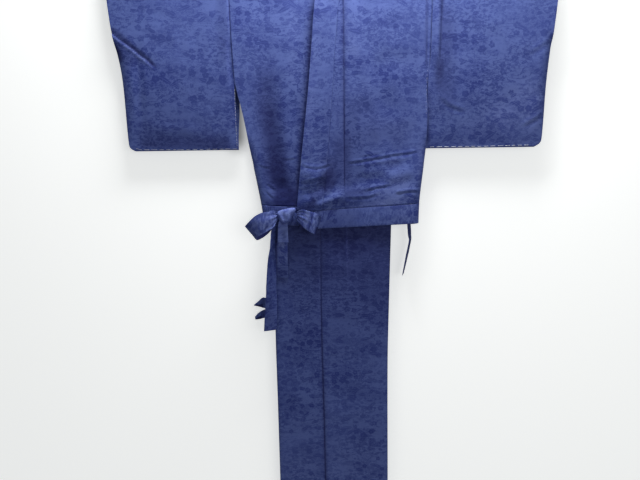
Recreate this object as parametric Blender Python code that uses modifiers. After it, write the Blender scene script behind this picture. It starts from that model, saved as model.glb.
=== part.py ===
"""A two-piece komon kimono on a kimono hanger: a short upper garment over a folded wrap skirt.

Metres. X runs to the viewer's right, Y into the wall, Z up, and the garment's front faces -Y.
The origin is where the hanger's hook bears on its peg. A drop is a depth below the shoulder line, and
across is a place along X. Left and right are the wearer's, so the wearer's left side lies at +X.
"""

import math
from typing import Callable, NamedTuple

import bmesh
import bpy
from mathutils import Vector

GAP = 0.0003
HEM_GAP = 0.0008
CLOTH = 0.0015
BAND = 0.0024
STRAP = 0.0016

# Hanger
ROD_RADIUS = 0.009
ROD_HALF = 0.630
ROD_AXIS_Z = -0.120
ROD_END_BEVEL = 0.003
WIRE_RADIUS = 0.002
HOOK_RADIUS = 0.020
HOOK_FROM = math.radians(205)
HOOK_SWEEP = math.radians(255)
HOOK_STEPS = 14
STEM_STEPS = 6
STEM_TOP_Z = -0.055
STEM_PULLS = (0.016, 0.012)

# How the cloth lies over the rod and hangs from it
SADDLE = ROD_RADIUS + GAP + CLOTH / 2
SHOULDER_Z = ROD_AXIS_Z + SADDLE
HANG_DEPTH = 0.0123
HANG_DROP = 0.040
LAP = 0.0032
COLLAR_PROUD = 0.0006
SIDE_ROUND = 0.030
FLAT_SEAM = CLOTH / 2 + GAP / 2
BAND_SEAM = BAND / 2 + GAP / 2

# The upper garment
NECK_DROP = 0.026
OVERLAP_TOP = 0.100
ARMHOLE_DROP = 0.340
SIDE_OPEN_DROP = 0.500
SIDE_SEAM_DROP = 0.600
TUCK = 0.009
FRONT_DROP = 0.735
BACK_DROP = 0.727
LEFT_OVERLAP_SEAM = 0.031
CUFF_OPEN_DROP = 0.220
CUFF_SEWN_DROP = 0.270
SLEEVE_TAPER_DROP = 0.300
SLEEVE_TAPER_POWER = 1.3
# Powers above 1 crowd a grid's columns toward its rounded side
BODY_CROWDING = 1.8
BAND_CROWDING = 1.6

# The largest folds
COLLAR_LIFT = 0.004
BLOUSE = 0.005
BLOUSE_DROP = 0.700
BLOUSE_HALF = 0.040
TROUGH = 0.004
TROUGH_ACROSS = -0.185
TROUGH_HALF = 0.050
SLEEVE_RIDGE = 0.005
SLEEVE_RIDGE_HALF = 0.035
SLEEVE_RIDGE_FROM = (-0.642, 0.216)
SLEEVE_RIDGE_TO = (-0.509, 0.316)

# The skirt
SKIRT_DEPTH = 0.0075
SKIRT_HALF_CORE = 0.0060
SKIRT_TOP_DROP = 0.725
SKIRT_BAND_DROP = 0.775
SKIRT_HEM_DROP = 1.700
SKIRT_CURL = 0.006
SKIRT_CORE_INSET = 0.015
SKIRT_LAYERS = 3
SKIRT_LAYER_BULGE = 0.0018
SKIRT_CORE_POINTS = 28
WAISTBAND_BEVEL = 0.003

# Rows of the grids, as drops below the shoulder line
FRONT_ROWS = (0.02, 0.03, 0.04, 0.06, 0.10, 0.15, 0.20, 0.25, 0.30, 0.34)
BACK_ROWS = (0.018, 0.0235, 0.026, 0.04, 0.10, 0.17, 0.24, 0.30, 0.34)
BODY_FRONT_ROWS = FRONT_ROWS + (0.38, 0.42, 0.46, 0.50, 0.55, 0.60, 0.64, 0.68, 0.71, FRONT_DROP)
BODY_BACK_ROWS = BACK_ROWS + (0.38, 0.44, 0.50, 0.55, 0.60, 0.66, BACK_DROP)
SLEEVE_FRONT_ROWS = FRONT_ROWS + (0.38, 0.42, 0.46, 0.50, 0.53, 0.545, 1.0)
SLEEVE_BACK_ROWS = BACK_ROWS + (0.40, 0.46, 0.51, 0.54, 1.0)
OVER_ROD = tuple(math.radians(22.5 * step) for step in range(-4, 5))

CLOTH_COLOUR = (0.085, 0.110, 0.370, 1.0)
WOOD_COLOUR = (0.560, 0.380, 0.200, 1.0)
STEEL_COLOUR = (0.620, 0.620, 0.600, 1.0)


class Edge(NamedTuple):
    """A point of an edge that runs down the garment."""

    drop: float
    across: float


class Row(NamedTuple):
    """A row of a length of cloth: side is 1 on the front, -1 on the back and between over the rod."""

    side: float
    drop: float


class Side(NamedTuple):
    """One side of the upper garment, with distances measured outward from the centre."""

    name: str
    sign: int
    seam: tuple
    cuff: tuple
    sleeve_bottom: float
    sleeve_inner_end: float


class NeckRow(NamedTuple):
    """A row of the collar round the back of the neck, on the wearer's left half."""

    side: float
    seam_across: float
    seam_drop: float
    free_across: float
    free_y: float
    free_rise: float


class Station(NamedTuple):
    """A place along a strap. Turn is the angle in degrees that its width makes with the front."""

    across: float
    y: float
    drop: float
    width: float
    turn: float


class LoopRow(NamedTuple):
    """A row of a bow's loop, from the knot out along its front layer and back along the other."""

    top_across: float
    top_drop: float
    low_across: float
    low_drop: float
    y: float
    pleat: float


LEFT = Side(
    name="left",
    sign=1,
    seam=(Edge(0.0, 0.2885), Edge(0.28, 0.2855), Edge(0.34, 0.2805), Edge(0.385, 0.277), Edge(0.45, 0.280),
          Edge(0.57, 0.276), Edge(0.72, 0.261), Edge(0.79, 0.259)),
    cuff=(Edge(0.0, 0.655), Edge(0.137, 0.650), Edge(0.35, 0.633), Edge(0.528, 0.6275), Edge(0.545, 0.622),
          Edge(0.5555, 0.605)),
    sleeve_bottom=0.5555,
    sleeve_inner_end=0.273,
)
RIGHT = Side(
    name="right",
    sign=-1,
    seam=(Edge(0.0, 0.299), Edge(0.124, 0.299), Edge(0.274, 0.296), Edge(0.354, 0.292), Edge(0.371, 0.2885),
          Edge(0.456, 0.2695), Edge(0.579, 0.249), Edge(0.718, 0.225), Edge(0.79, 0.216)),
    cuff=(Edge(0.0, 0.653), Edge(0.119, 0.651), Edge(0.212, 0.643), Edge(0.332, 0.625), Edge(0.53, 0.619),
          Edge(0.5445, 0.614), Edge(0.5525, 0.600)),
    sleeve_bottom=0.5525,
    sleeve_inner_end=0.289,
)

COLLAR_SEAM_LEFT = (
    Edge(0.0, 0.090), Edge(0.03, 0.0655), Edge(0.06, 0.045), Edge(0.09, 0.031), Edge(0.142, 0.016),
    Edge(0.208, 0.010), Edge(0.292, 0.0024), Edge(0.354, -0.001), Edge(0.595, -0.022), Edge(0.735, -0.038),
)
COLLAR_FREE_LEFT = (
    Edge(0.0, 0.035), Edge(0.035, 0.015), Edge(0.068, -0.015), Edge(0.098, -0.040), Edge(0.127, -0.051),
    Edge(0.252, -0.063), Edge(0.379, -0.075), Edge(0.555, -0.096), Edge(0.735, -0.116),
)
COLLAR_SEAM_RIGHT = (
    Edge(0.0, -0.090), Edge(0.03, -0.075), Edge(0.06, -0.060), Edge(0.09, -0.046), Edge(0.14, -0.036),
    Edge(0.735, 0.086),
)
COLLAR_FREE_RIGHT = (
    Edge(0.0, -0.035), Edge(0.035, -0.018), Edge(0.068, 0.002), Edge(0.098, 0.018), Edge(0.127, 0.028),
    Edge(0.30, 0.067), Edge(0.50, 0.112), Edge(0.735, 0.163),
)
OVERLAP_SEAM_RIGHT = (Edge(0.09, -0.046), Edge(0.15, -0.044), Edge(0.735, 0.015))
BACK_NECK = (
    Edge(0.0, 0.090), Edge(SADDLE, 0.078), Edge(0.018, 0.052), Edge(0.0235, 0.025), Edge(NECK_DROP, 0.0),
)
NECK_ROWS = (
    NeckRow(1.0, 0.0817, SADDLE, 0.0300, -0.0140, -0.010),
    NeckRow(math.sin(math.radians(60)), 0.086, SADDLE * 0.500, 0.0345, -0.0125, -0.004),
    NeckRow(math.sin(math.radians(30)), 0.089, SADDLE * 0.134, 0.0390, -0.0080, 0.004),
    NeckRow(0.0, 0.090, 0.0, 0.0425, -0.0010, 0.009),
    NeckRow(math.sin(math.radians(-30)), 0.089, SADDLE * 0.134, 0.0440, 0.0060, 0.013),
    NeckRow(math.sin(math.radians(-60)), 0.085, SADDLE * 0.500, 0.0435, 0.0115, 0.017),
    NeckRow(-1.0, 0.078, SADDLE, 0.0400, 0.0150, 0.020),
    NeckRow(-1.0, 0.052, 0.018, 0.0300, 0.0170, 0.024),
    NeckRow(-1.0, 0.025, 0.0235, 0.0160, 0.0178, 0.0265),
)
NECK_BACK = NeckRow(-1.0, 0.0, NECK_DROP, 0.0, 0.018, 0.027)

BAND_TOP_LEFT = (
    Edge(0.737, -0.116), Edge(0.739, -0.070), Edge(0.735, 0.031), Edge(0.728, 0.149), Edge(0.722, 0.261),
)
BAND_LOW_LEFT = (
    Edge(0.797, -0.116), Edge(0.795, -0.040), Edge(0.791, 0.070), Edge(0.786, 0.169), Edge(0.784, 0.261),
)
BAND_TOP_RIGHT = (Edge(0.7215, -0.225), Edge(0.727, -0.115), Edge(0.733, 0.163))
BAND_LOW_RIGHT = (Edge(0.782, -0.225), Edge(0.786, -0.115), Edge(0.788, 0.163))
BAND_LEFT_FROM = -0.110
BAND_BACK_LOW = 0.785
BAND_WRAP = 0.018
BAND_SLOT = 0.0008

SKIRT_LEFT_EDGE = (
    Edge(0.775, 0.175), Edge(1.027, 0.170), Edge(1.241, 0.167), Edge(1.653, 0.170),
    Edge(SKIRT_HEM_DROP, 0.170),
)
SKIRT_RIGHT_EDGE = (
    Edge(0.775, -0.186), Edge(0.893, -0.187), Edge(1.123, -0.192), Edge(1.367, -0.191),
    Edge(SKIRT_HEM_DROP, -0.190),
)
SKIRT_SEAM = (
    Edge(0.775, -0.043), Edge(1.024, -0.045), Edge(1.238, -0.0435), Edge(1.458, -0.040),
    Edge(SKIRT_HEM_DROP, -0.038),
)
SKIRT_ROWS = 9

KNOT_CENTRE = (-0.1482, -0.036, 0.7515)
KNOT_HALF_HEIGHT = 0.0215
KNOT_HALF_DEPTH = 0.013
KNOT_TOP_HALF = 0.035
KNOT_LOW_HALF = 0.014
KNOT_LEAN = 0.006
KNOT_TILT = math.radians(11)
KNOT_BOXY = 0.55
KNOT_CLEARANCE = 1.03

LOOP_PLEAT = 0.0018
LOOP_PLEATS = 3
LOOP_BELLY = 0.004
LOOP_STEPS = 16
LOOP_COLUMNS = 12
LOOP_LEFT_ROWS = (
    LoopRow(-0.1190, 0.7370, -0.1210, 0.7540, -0.0370, 1.0),
    LoopRow(-0.1080, 0.7340, -0.1130, 0.7600, -0.0430, 1.0),
    LoopRow(-0.0960, 0.7350, -0.1080, 0.7670, -0.0475, 1.0),
    LoopRow(-0.0810, 0.7380, -0.1010, 0.7760, -0.0490, 0.7),
    LoopRow(-0.0660, 0.7440, -0.0860, 0.7935, -0.0460, 0.3),
    LoopRow(-0.0480, 0.7510, -0.0670, 0.8040, -0.0430, 0.0),
    LoopRow(-0.0420, 0.7530, -0.0615, 0.8080, -0.0380, 0.0),
    LoopRow(-0.0480, 0.7510, -0.0670, 0.8040, -0.0325, 0.0),
    LoopRow(-0.0680, 0.7460, -0.0860, 0.7900, -0.0295, 0.2),
    LoopRow(-0.0900, 0.7400, -0.1040, 0.7700, -0.0300, 0.6),
    LoopRow(-0.1080, 0.7380, -0.1130, 0.7590, -0.0315, 0.8),
    LoopRow(-0.1200, 0.7390, -0.1210, 0.7530, -0.0325, 0.8),
)
LOOP_RIGHT_ROWS = (
    LoopRow(-0.1700, 0.7400, -0.1700, 0.7590, -0.0370, 1.0),
    LoopRow(-0.1840, 0.7360, -0.1790, 0.7660, -0.0430, 1.0),
    LoopRow(-0.1980, 0.7340, -0.1830, 0.7780, -0.0490, 0.7),
    LoopRow(-0.2200, 0.7355, -0.1935, 0.7920, -0.0525, 0.3),
    LoopRow(-0.2480, 0.7510, -0.2130, 0.8070, -0.0490, 0.1),
    LoopRow(-0.2670, 0.7740, -0.2310, 0.8180, -0.0430, 0.0),
    LoopRow(-0.2720, 0.7800, -0.2365, 0.8210, -0.0380, 0.0),
    LoopRow(-0.2660, 0.7750, -0.2320, 0.8160, -0.0325, 0.0),
    LoopRow(-0.2450, 0.7560, -0.2150, 0.8020, -0.0285, 0.1),
    LoopRow(-0.2150, 0.7430, -0.1950, 0.7860, -0.0285, 0.3),
    LoopRow(-0.1880, 0.7400, -0.1800, 0.7690, -0.0305, 0.6),
    LoopRow(-0.1700, 0.7430, -0.1700, 0.7570, -0.0325, 0.8),
)
TAIL_SHORT = (
    Station(-0.1560, -0.0390, 0.7600, 0.024, 0),
    Station(-0.1580, -0.0385, 0.7800, 0.029, 0),
    Station(-0.1590, -0.0345, 0.8050, 0.031, 0),
    Station(-0.1590, -0.0320, 0.8340, 0.0335, 0),
)
TAIL_UNDER = (
    Station(-0.1570, -0.0255, 0.7620, 0.016, 0),
    Station(-0.1570, -0.0205, 0.7850, 0.026, 0),
    Station(-0.1640, -0.0185, 0.8300, 0.036, 0),
    Station(-0.1665, -0.0165, 0.9000, 0.038, 4),
    Station(-0.1665, -0.0155, 0.9520, 0.039, 3),
)
TAIL_LONG = (
    Station(-0.1660, -0.0320, 0.7640, 0.018, 30),
    Station(-0.1800, -0.0335, 0.7800, 0.026, 40),
    Station(-0.1930, -0.0320, 0.8060, 0.036, 76),
    Station(-0.2015, -0.0320, 0.8900, 0.040, 62),
    Station(-0.2045, -0.0315, 0.9600, 0.041, 52),
    Station(-0.2075, -0.0310, 1.0100, 0.041, 41),
    Station(-0.2110, -0.0300, 1.0600, 0.041, 28),
    Station(-0.2140, -0.0290, 1.1200, 0.041, 4),
)
TIE_ROOT_LEFT = (
    Station(-0.1040, -0.0183, 0.7660, 0.034, 0),
    Station(-0.1105, -0.0200, 0.7640, 0.030, 0),
    Station(-0.1180, -0.0270, 0.7560, 0.024, 0),
    Station(-0.1270, -0.0330, 0.7520, 0.020, 0),
)
TIE_ROOT_RIGHT = (
    Station(-0.2000, -0.0149, 0.7560, 0.036, 0),
    Station(-0.1860, -0.0149, 0.7550, 0.034, 0),
    Station(-0.1760, -0.0200, 0.7520, 0.024, 0),
    Station(-0.1650, -0.0300, 0.7500, 0.015, 0),
)
INNER_TIE = (
    Station(0.2180, 0.0018, 0.7650, 0.0180, 82),
    Station(0.2190, 0.0010, 0.7900, 0.0200, 80),
    Station(0.2305, 0.0000, 0.8290, 0.0260, 78),
    Station(0.2210, 0.0000, 0.8850, 0.0290, 80),
    Station(0.2105, 0.0000, 0.9420, 0.0300, 82),
)
SKIRT_LOOP_ACROSS = 0.024
SKIRT_LOOP_WIDTH = 0.022
SKIRT_LOOP_RADIUS = ROD_RADIUS + GAP + STRAP / 2
SKIRT_LOOP_NECK_IN = 0.0022
SKIRT_LOOP_WAIST_IN = 0.0025
SKIRT_LOOP_ROWS = (0.03, 0.05, 0.10, 0.20, 0.30, 0.40, 0.50, 0.60, 0.68, SKIRT_TOP_DROP - GAP)
TIE_END_Y = 0.0096
TIE_END_OUTLINE = (
    Edge(0.735, -0.183), Edge(0.985, -0.183), Edge(1.015, -0.230), Edge(1.040, -0.257), Edge(1.051, -0.232),
    Edge(1.058, -0.232), Edge(1.083, -0.256), Edge(1.082, -0.230), Edge(1.055, -0.190), Edge(0.985, -0.150),
    Edge(0.735, -0.150),
)


def ease(low: float, high: float, value: float) -> float:
    """A smooth step from 0 at low to 1 at high."""
    part = min(max((value - low) / (high - low), 0.0), 1.0)
    return part * part * (3 - 2 * part)


def bump(value: float, centre: float, half: float) -> float:
    """A smooth hill, 1 at its centre and 0 beyond half its width."""
    if abs(value - centre) >= half:
        return 0.0
    return 0.5 + 0.5 * math.cos(math.pi * (value - centre) / half)


def curve_value(places: list, values: list, place: float) -> float:
    """A smooth curve through the values at these rising places."""
    if place <= places[0]:
        return values[0]
    if place >= places[-1]:
        return values[-1]
    last = len(places) - 1
    at = max(i for i in range(last) if places[i] <= place)

    def slope(i: int) -> float:
        before, after = max(i - 1, 0), min(i + 1, last)
        return (values[after] - values[before]) / (places[after] - places[before])

    span = places[at + 1] - places[at]
    t = (place - places[at]) / span
    start = (2 * t**3 - 3 * t**2 + 1) * values[at] + (t**3 - 2 * t**2 + t) * span * slope(at)
    end = (3 * t**2 - 2 * t**3) * values[at + 1] + (t**3 - t**2) * span * slope(at + 1)
    return start + end


def across_at(edge: tuple, drop: float) -> float:
    """How far across an edge lies at this drop."""
    return curve_value([point.drop for point in edge], [point.across for point in edge], drop)


def drop_at(edge: tuple, across: float) -> float:
    """How far down a level edge, such as a hem, lies at this place across."""
    return curve_value([point.across for point in edge], [point.drop for point in edge], across)


def station_at(rows: tuple, place: float) -> NamedTuple:
    """The row at a place from 0 to 1 along a table, on a smooth curve through its rows."""
    places = [i / (len(rows) - 1) for i in range(len(rows))]
    columns = [curve_value(places, list(column), place) for column in zip(*rows)]
    return type(rows[0])(*columns)


def hang_depth(drop: float) -> float:
    """How far from the rod's axis the cloth hangs, in front or behind."""
    return SADDLE + (HANG_DEPTH - SADDLE) * ease(SADDLE, HANG_DROP, drop)


def rounded_to_side(depth: float, inset: float, closed: float, seam: float = FLAT_SEAM) -> float:
    """The depth near a side where front and back come together, inset from it."""
    reach = min(max(inset, 0.0) / SIDE_ROUND, 1.0)
    rounded = seam + (depth - seam) * math.sqrt(1 - (1 - reach) ** 2)
    return depth + (rounded - depth) * closed


def over_depth(across: float, drop: float) -> float:
    """The depth of the left front, its overlap and its collar, which lie over the right ones."""
    under_edge = across_at(COLLAR_FREE_RIGHT, drop)
    free_edge = across_at(COLLAR_FREE_LEFT, drop)
    lap = LAP * ease(SADDLE, 0.045, drop) * (1 - ease(under_edge + 0.01, under_edge + 0.06, across))
    lift = COLLAR_LIFT * (1 - ease(free_edge, free_edge + 0.06, across))
    lift *= ease(0.06, 0.16, drop) * (1 - ease(0.62, 0.71, drop))
    blouse = BLOUSE * bump(drop, BLOUSE_DROP, BLOUSE_HALF) * (1 - 0.6 * ease(0.08, 0.20, across))
    closed = ease(SIDE_OPEN_DROP, SIDE_SEAM_DROP, drop)
    inset = across_at(LEFT.seam, drop) - across
    return rounded_to_side(hang_depth(drop) + lap + lift + blouse, inset, closed)


def under_depth(across: float, drop: float) -> float:
    """The depth of the right front, its overlap and its collar."""
    trough = TROUGH * bump(across, TROUGH_ACROSS, TROUGH_HALF)
    trough *= ease(0.36, 0.50, drop) * (1 - ease(0.64, 0.71, drop))
    closed = ease(SIDE_OPEN_DROP, SIDE_SEAM_DROP, drop)
    inset = across + across_at(RIGHT.seam, drop)
    return rounded_to_side(hang_depth(drop) - trough, inset, closed)


def settled(drop: float, across: float, hem: tuple, hem_drop: float) -> float:
    """A row's drop, moved near the bottom so that the last row follows the band's top."""
    return drop + (drop_at(hem, across) - HEM_GAP - hem_drop) * ease(0.50, hem_drop, drop)


def garment_point(across: float, y: float, drop: float) -> Vector:
    return Vector((across, y, SHOULDER_Z - drop))


def new_material(name: str, colour: tuple, roughness: float, metallic: float = 0.0) -> bpy.types.Material:
    material = bpy.data.materials.new(name)
    material.use_nodes = True
    shader = material.node_tree.nodes["Principled BSDF"]
    shader.inputs["Base Color"].default_value = colour
    shader.inputs["Roughness"].default_value = roughness
    shader.inputs["Metallic"].default_value = metallic
    return material


def add_object(
    name: str, data: bpy.types.ID, colour: tuple, roughness: float, metallic: float = 0.0,
) -> bpy.types.Object:
    data.materials.append(new_material(name, colour, roughness, metallic))
    obj = bpy.data.objects.new(name, data)
    bpy.data.collections["komon_kimono"].objects.link(obj)
    return obj


def add_cloth(name: str, data: bpy.types.ID) -> bpy.types.Object:
    return add_object(name, data, CLOTH_COLOUR, 0.45)


def mesh_from(build: bmesh.types.BMesh, name: str) -> bpy.types.Mesh:
    bmesh.ops.recalc_face_normals(build, faces=build.faces)
    mesh = bpy.data.meshes.new(name)
    build.to_mesh(mesh)
    build.free()
    mesh.shade_smooth()
    return mesh


def thicken(obj: bpy.types.Object, thickness: float) -> None:
    solidify = obj.modifiers.new("Thickness", "SOLIDIFY")
    solidify.thickness = thickness
    solidify.offset = 0.0


def add_sheet(name: str, columns: int, rows: int, place: Callable, thickness: float) -> bpy.types.Object:
    """A sheet of cloth: place gives the point for a fraction across and a row's number."""
    build = bmesh.new()
    bmesh.ops.create_grid(build, x_segments=columns, y_segments=rows, size=1.0)
    for vertex in build.verts:
        fraction = (vertex.co.x + 1) / 2
        row = round((vertex.co.y + 1) / 2 * rows)
        vertex.co = place(fraction, row)
    obj = add_cloth(name, mesh_from(build, name))
    thicken(obj, thickness)
    return obj


def over_rod_rows(back: tuple, front: tuple) -> list:
    """The rows of a length of cloth from its back hem over the rod to its front hem."""
    rows = [Row(-1.0, drop) for drop in reversed(back)]
    rows += [Row(math.sin(angle), SADDLE * (1 - math.cos(angle))) for angle in OVER_ROD]
    return rows + [Row(1.0, drop) for drop in front]


def front_inner(side: Side, drop: float) -> float:
    """Where a body's front ends at the neck, or at the seam of its overlap."""
    if side is LEFT:
        return max(across_at(COLLAR_SEAM_LEFT, drop), LEFT_OVERLAP_SEAM) + GAP / 2
    if drop <= OVERLAP_SEAM_RIGHT[0].drop:
        return across_at(COLLAR_SEAM_RIGHT, drop) - GAP / 2
    return across_at(OVERLAP_SEAM_RIGHT, drop) - GAP / 2


def add_body(side: Side) -> None:
    """One length of cloth from the back hem over the shoulder to the front's band."""
    rows = over_rod_rows(BODY_BACK_ROWS, BODY_FRONT_ROWS)
    hem = BAND_TOP_LEFT if side is LEFT else BAND_TOP_RIGHT
    depth_at = over_depth if side is LEFT else under_depth

    def place(fraction: float, number: int) -> Vector:
        row = rows[number]
        outward = 1 - (1 - fraction) ** BODY_CROWDING
        outer = across_at(side.seam, row.drop)
        if row.side >= 0:
            inner = front_inner(side, row.drop)
            across = inner + (side.sign * outer - inner) * outward
            if row.side < 1:
                return garment_point(across, -row.side * SADDLE, row.drop)
            drop = settled(row.drop, across, hem, FRONT_DROP)
            return garment_point(across, -depth_at(across, row.drop), drop)
        outer -= TUCK * ease(ARMHOLE_DROP, 0.40, row.drop) * (1 - ease(0.56, SIDE_SEAM_DROP, row.drop))
        inner = max(across_at(BACK_NECK, row.drop), GAP / 2)
        across = side.sign * (inner + (outer - inner) * outward)
        inset = outer - abs(across)
        closed = ease(SIDE_OPEN_DROP, SIDE_SEAM_DROP, row.drop)
        depth = rounded_to_side(hang_depth(row.drop), inset, closed)
        return garment_point(across, -row.side * depth, row.drop)

    add_sheet(f"body_{side.name}", 9, len(rows) - 1, place, CLOTH)


def sleeve_ridge(across: float, drop: float) -> float:
    """The diagonal fold on the front of the right sleeve."""
    start, end = Vector(SLEEVE_RIDGE_FROM), Vector(SLEEVE_RIDGE_TO)
    along = end - start
    here = Vector((across, drop))
    part = min(max((here - start).dot(along) / along.length_squared, 0.0), 1.0)
    distance = (here - start - along * part).length
    return SLEEVE_RIDGE * bump(distance, 0.0, SLEEVE_RIDGE_HALF)


def add_sleeve(side: Side) -> None:
    """One length of cloth over the rod, joined along its bottom and below the cuff's opening."""
    rows = over_rod_rows(SLEEVE_BACK_ROWS, SLEEVE_FRONT_ROWS)

    def place(fraction: float, number: int) -> Vector:
        row = rows[number]
        drop = min(row.drop, side.sleeve_bottom)
        outward = 1 - (1 - fraction) ** BODY_CROWDING
        seam_end = across_at(side.seam, ARMHOLE_DROP)
        below = max(drop - ARMHOLE_DROP, 0) / (side.sleeve_bottom - ARMHOLE_DROP)
        inner = across_at(side.seam, min(drop, ARMHOLE_DROP)) + GAP
        inner += (side.sleeve_inner_end - seam_end) * below
        outer = across_at(side.cuff, drop)
        across = side.sign * (inner + (outer - inner) * outward)
        if abs(row.side) < 1:
            return garment_point(across, -row.side * SADDLE, drop)
        taper = max(drop - SLEEVE_TAPER_DROP, 0) / (side.sleeve_bottom - SLEEVE_TAPER_DROP)
        depth = FLAT_SEAM + (hang_depth(drop) - FLAT_SEAM) * (1 - taper**SLEEVE_TAPER_POWER)
        if side is RIGHT and row.side > 0:
            depth += sleeve_ridge(across, drop)
        closed = ease(CUFF_OPEN_DROP, CUFF_SEWN_DROP, drop)
        depth = rounded_to_side(depth, outer - abs(across), closed)
        return garment_point(across, -row.side * depth, drop)

    add_sheet(f"sleeve_{side.name}", 8, len(rows) - 1, place, CLOTH)


def add_overlap(side: Side) -> None:
    """The narrow panel between a front and its collar, which ends in a point below the neck."""
    drops = [drop for drop in BODY_FRONT_ROWS if drop >= OVERLAP_TOP]
    seam = COLLAR_SEAM_LEFT if side is LEFT else COLLAR_SEAM_RIGHT
    hem = BAND_TOP_LEFT if side is LEFT else BAND_TOP_RIGHT
    depth_at = over_depth if side is LEFT else under_depth

    def place(fraction: float, number: int) -> Vector:
        row_drop = drops[number]
        at_collar = across_at(seam, row_drop) + side.sign * GAP / 2
        at_front = front_inner(side, row_drop) - side.sign * GAP
        across = at_front + (at_collar - at_front) * fraction
        drop = settled(row_drop, across, hem, FRONT_DROP)
        return garment_point(across, -depth_at(across, row_drop), drop)

    add_sheet(f"okumi_{side.name}", 2, len(drops) - 1, place, CLOTH)


def collar_front_point(side: Side, drop: float, fraction: float) -> Vector:
    """A point of the collar below the rod, from its seam at 0 to its free edge at 1."""
    seam = COLLAR_SEAM_LEFT if side is LEFT else COLLAR_SEAM_RIGHT
    free = COLLAR_FREE_LEFT if side is LEFT else COLLAR_FREE_RIGHT
    hem = BAND_TOP_LEFT if side is LEFT else BAND_TOP_RIGHT
    depth_at = over_depth if side is LEFT else under_depth
    at_seam = across_at(seam, drop) - side.sign * GAP / 2
    across = at_seam + (across_at(free, drop) - at_seam) * fraction
    lowered = settled(drop, across, hem, FRONT_DROP)
    return garment_point(across, -depth_at(across, drop) - COLLAR_PROUD, lowered)


def collar_neck_point(row: NeckRow, sign: int, fraction: float) -> Vector:
    """A point of the collar over the rod and behind the neck."""
    reach = (SADDLE if abs(row.side) < 1 else hang_depth(row.seam_drop)) + COLLAR_PROUD
    seam_rise = GAP + (COLLAR_PROUD if abs(row.side) < 1 else 0.0)
    seam = garment_point(sign * (row.seam_across - HEM_GAP), -row.side * reach, row.seam_drop - seam_rise)
    free = garment_point(sign * row.free_across, row.free_y, -row.free_rise)
    return seam.lerp(free, fraction)


def add_collar() -> None:
    """One strip from the right front's band round the neck to the left front's band."""
    stations = [(RIGHT, drop) for drop in reversed(BODY_FRONT_ROWS)]
    stations += [(-1, row) for row in NECK_ROWS]
    stations += [(1, NECK_BACK)]
    stations += [(1, row) for row in reversed(NECK_ROWS)]
    stations += [(LEFT, drop) for drop in BODY_FRONT_ROWS]

    def place(fraction: float, number: int) -> Vector:
        where, row = stations[number]
        if isinstance(row, NeckRow):
            return collar_neck_point(row, where, fraction)
        return collar_front_point(where, row, fraction)

    add_sheet("collar", 4, len(stations) - 1, place, BAND)


def band_level(edges: tuple, across: float, down: float) -> float:
    """The drop at a fraction of a band's height below its top edge."""
    top, low = (drop_at(edge, across) for edge in edges)
    return top + (low - top) * down


def add_left_band() -> None:
    """The band sewn along the left front's lower edge, round to the left side."""
    edges = (BAND_TOP_LEFT, BAND_LOW_LEFT)

    def place(fraction: float, number: int) -> Vector:
        toward = 1 - (1 - fraction) ** BAND_CROWDING
        side_edge = across_at(LEFT.seam, band_level(edges, LEFT.seam[-1].across, number / 2))
        across = BAND_LEFT_FROM + (side_edge - BAND_LEFT_FROM) * toward
        drop = band_level(edges, across, number / 2)
        return garment_point(across, -over_depth(across, max(drop, BLOUSE_DROP + BLOUSE_HALF)), drop)

    add_sheet("band_left", 12, 2, place, BAND)


def add_right_band() -> None:
    """The band along the right front's lower edge, from the back band's wrapped end to the collar's edge."""
    edges = (BAND_TOP_RIGHT, BAND_LOW_RIGHT)
    stop = COLLAR_FREE_RIGHT[-1].across

    def place(fraction: float, number: int) -> Vector:
        level = band_level(edges, BAND_TOP_RIGHT[0].across, number / 2)
        start = BAND_WRAP + BAND_SLOT - across_at(RIGHT.seam, level)
        across = start + (stop - start) * fraction
        return garment_point(across, -HANG_DEPTH, band_level(edges, across, number / 2))

    add_sheet("band_right", 8, 2, place, BAND)


def add_back_band() -> None:
    """The band along the back hem. At the right side it wraps forward to the front's band."""
    rounded, straight, wrap = 4, 6, 8
    columns = rounded + straight + wrap

    def place(fraction: float, number: int) -> Vector:
        drop = BACK_DROP + GAP + (BAND_BACK_LOW - BACK_DROP - GAP) * number / 2
        step = round(fraction * columns)
        depth = HANG_DEPTH
        left_edge = across_at(LEFT.seam, drop)
        right_edge = -across_at(RIGHT.seam, drop)
        if step <= rounded:
            inset = SIDE_ROUND * (step / rounded) ** BODY_CROWDING
            return garment_point(left_edge - inset, rounded_to_side(depth, inset, 1.0, BAND_SEAM), drop)
        if step <= rounded + straight:
            start = left_edge - SIDE_ROUND
            part = (step - rounded) / straight
            return garment_point(start + (right_edge + BAND_WRAP - start) * part, depth, drop)
        angle = math.pi / 2 - math.pi * (step - rounded - straight) / wrap
        across = right_edge + BAND_WRAP * (1 - math.cos(angle))
        return garment_point(across, depth * math.sin(angle), drop)

    add_sheet("band_back", columns, 2, place, BAND)


def add_strap(name: str, stations: tuple, rows: int) -> bpy.types.Object:
    """A flat tie through its stations, each with its own width and turn."""

    def place(fraction: float, number: int) -> Vector:
        here = station_at(stations, number / rows)
        offset = here.width * (fraction - 0.5)
        turn = math.radians(here.turn)
        across = here.across + offset * math.cos(turn)
        return garment_point(across, here.y + offset * math.sin(turn), here.drop)

    return add_sheet(name, 3, rows, place, STRAP)


def add_level_strap(name: str, stations: tuple, rows: int) -> bpy.types.Object:
    """A tie that runs across the garment, so that its width is upright."""

    def place(fraction: float, number: int) -> Vector:
        here = station_at(stations, number / rows)
        return garment_point(here.across, here.y, here.drop + here.width * (fraction - 0.5))

    return add_sheet(name, 3, rows, place, STRAP)


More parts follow.
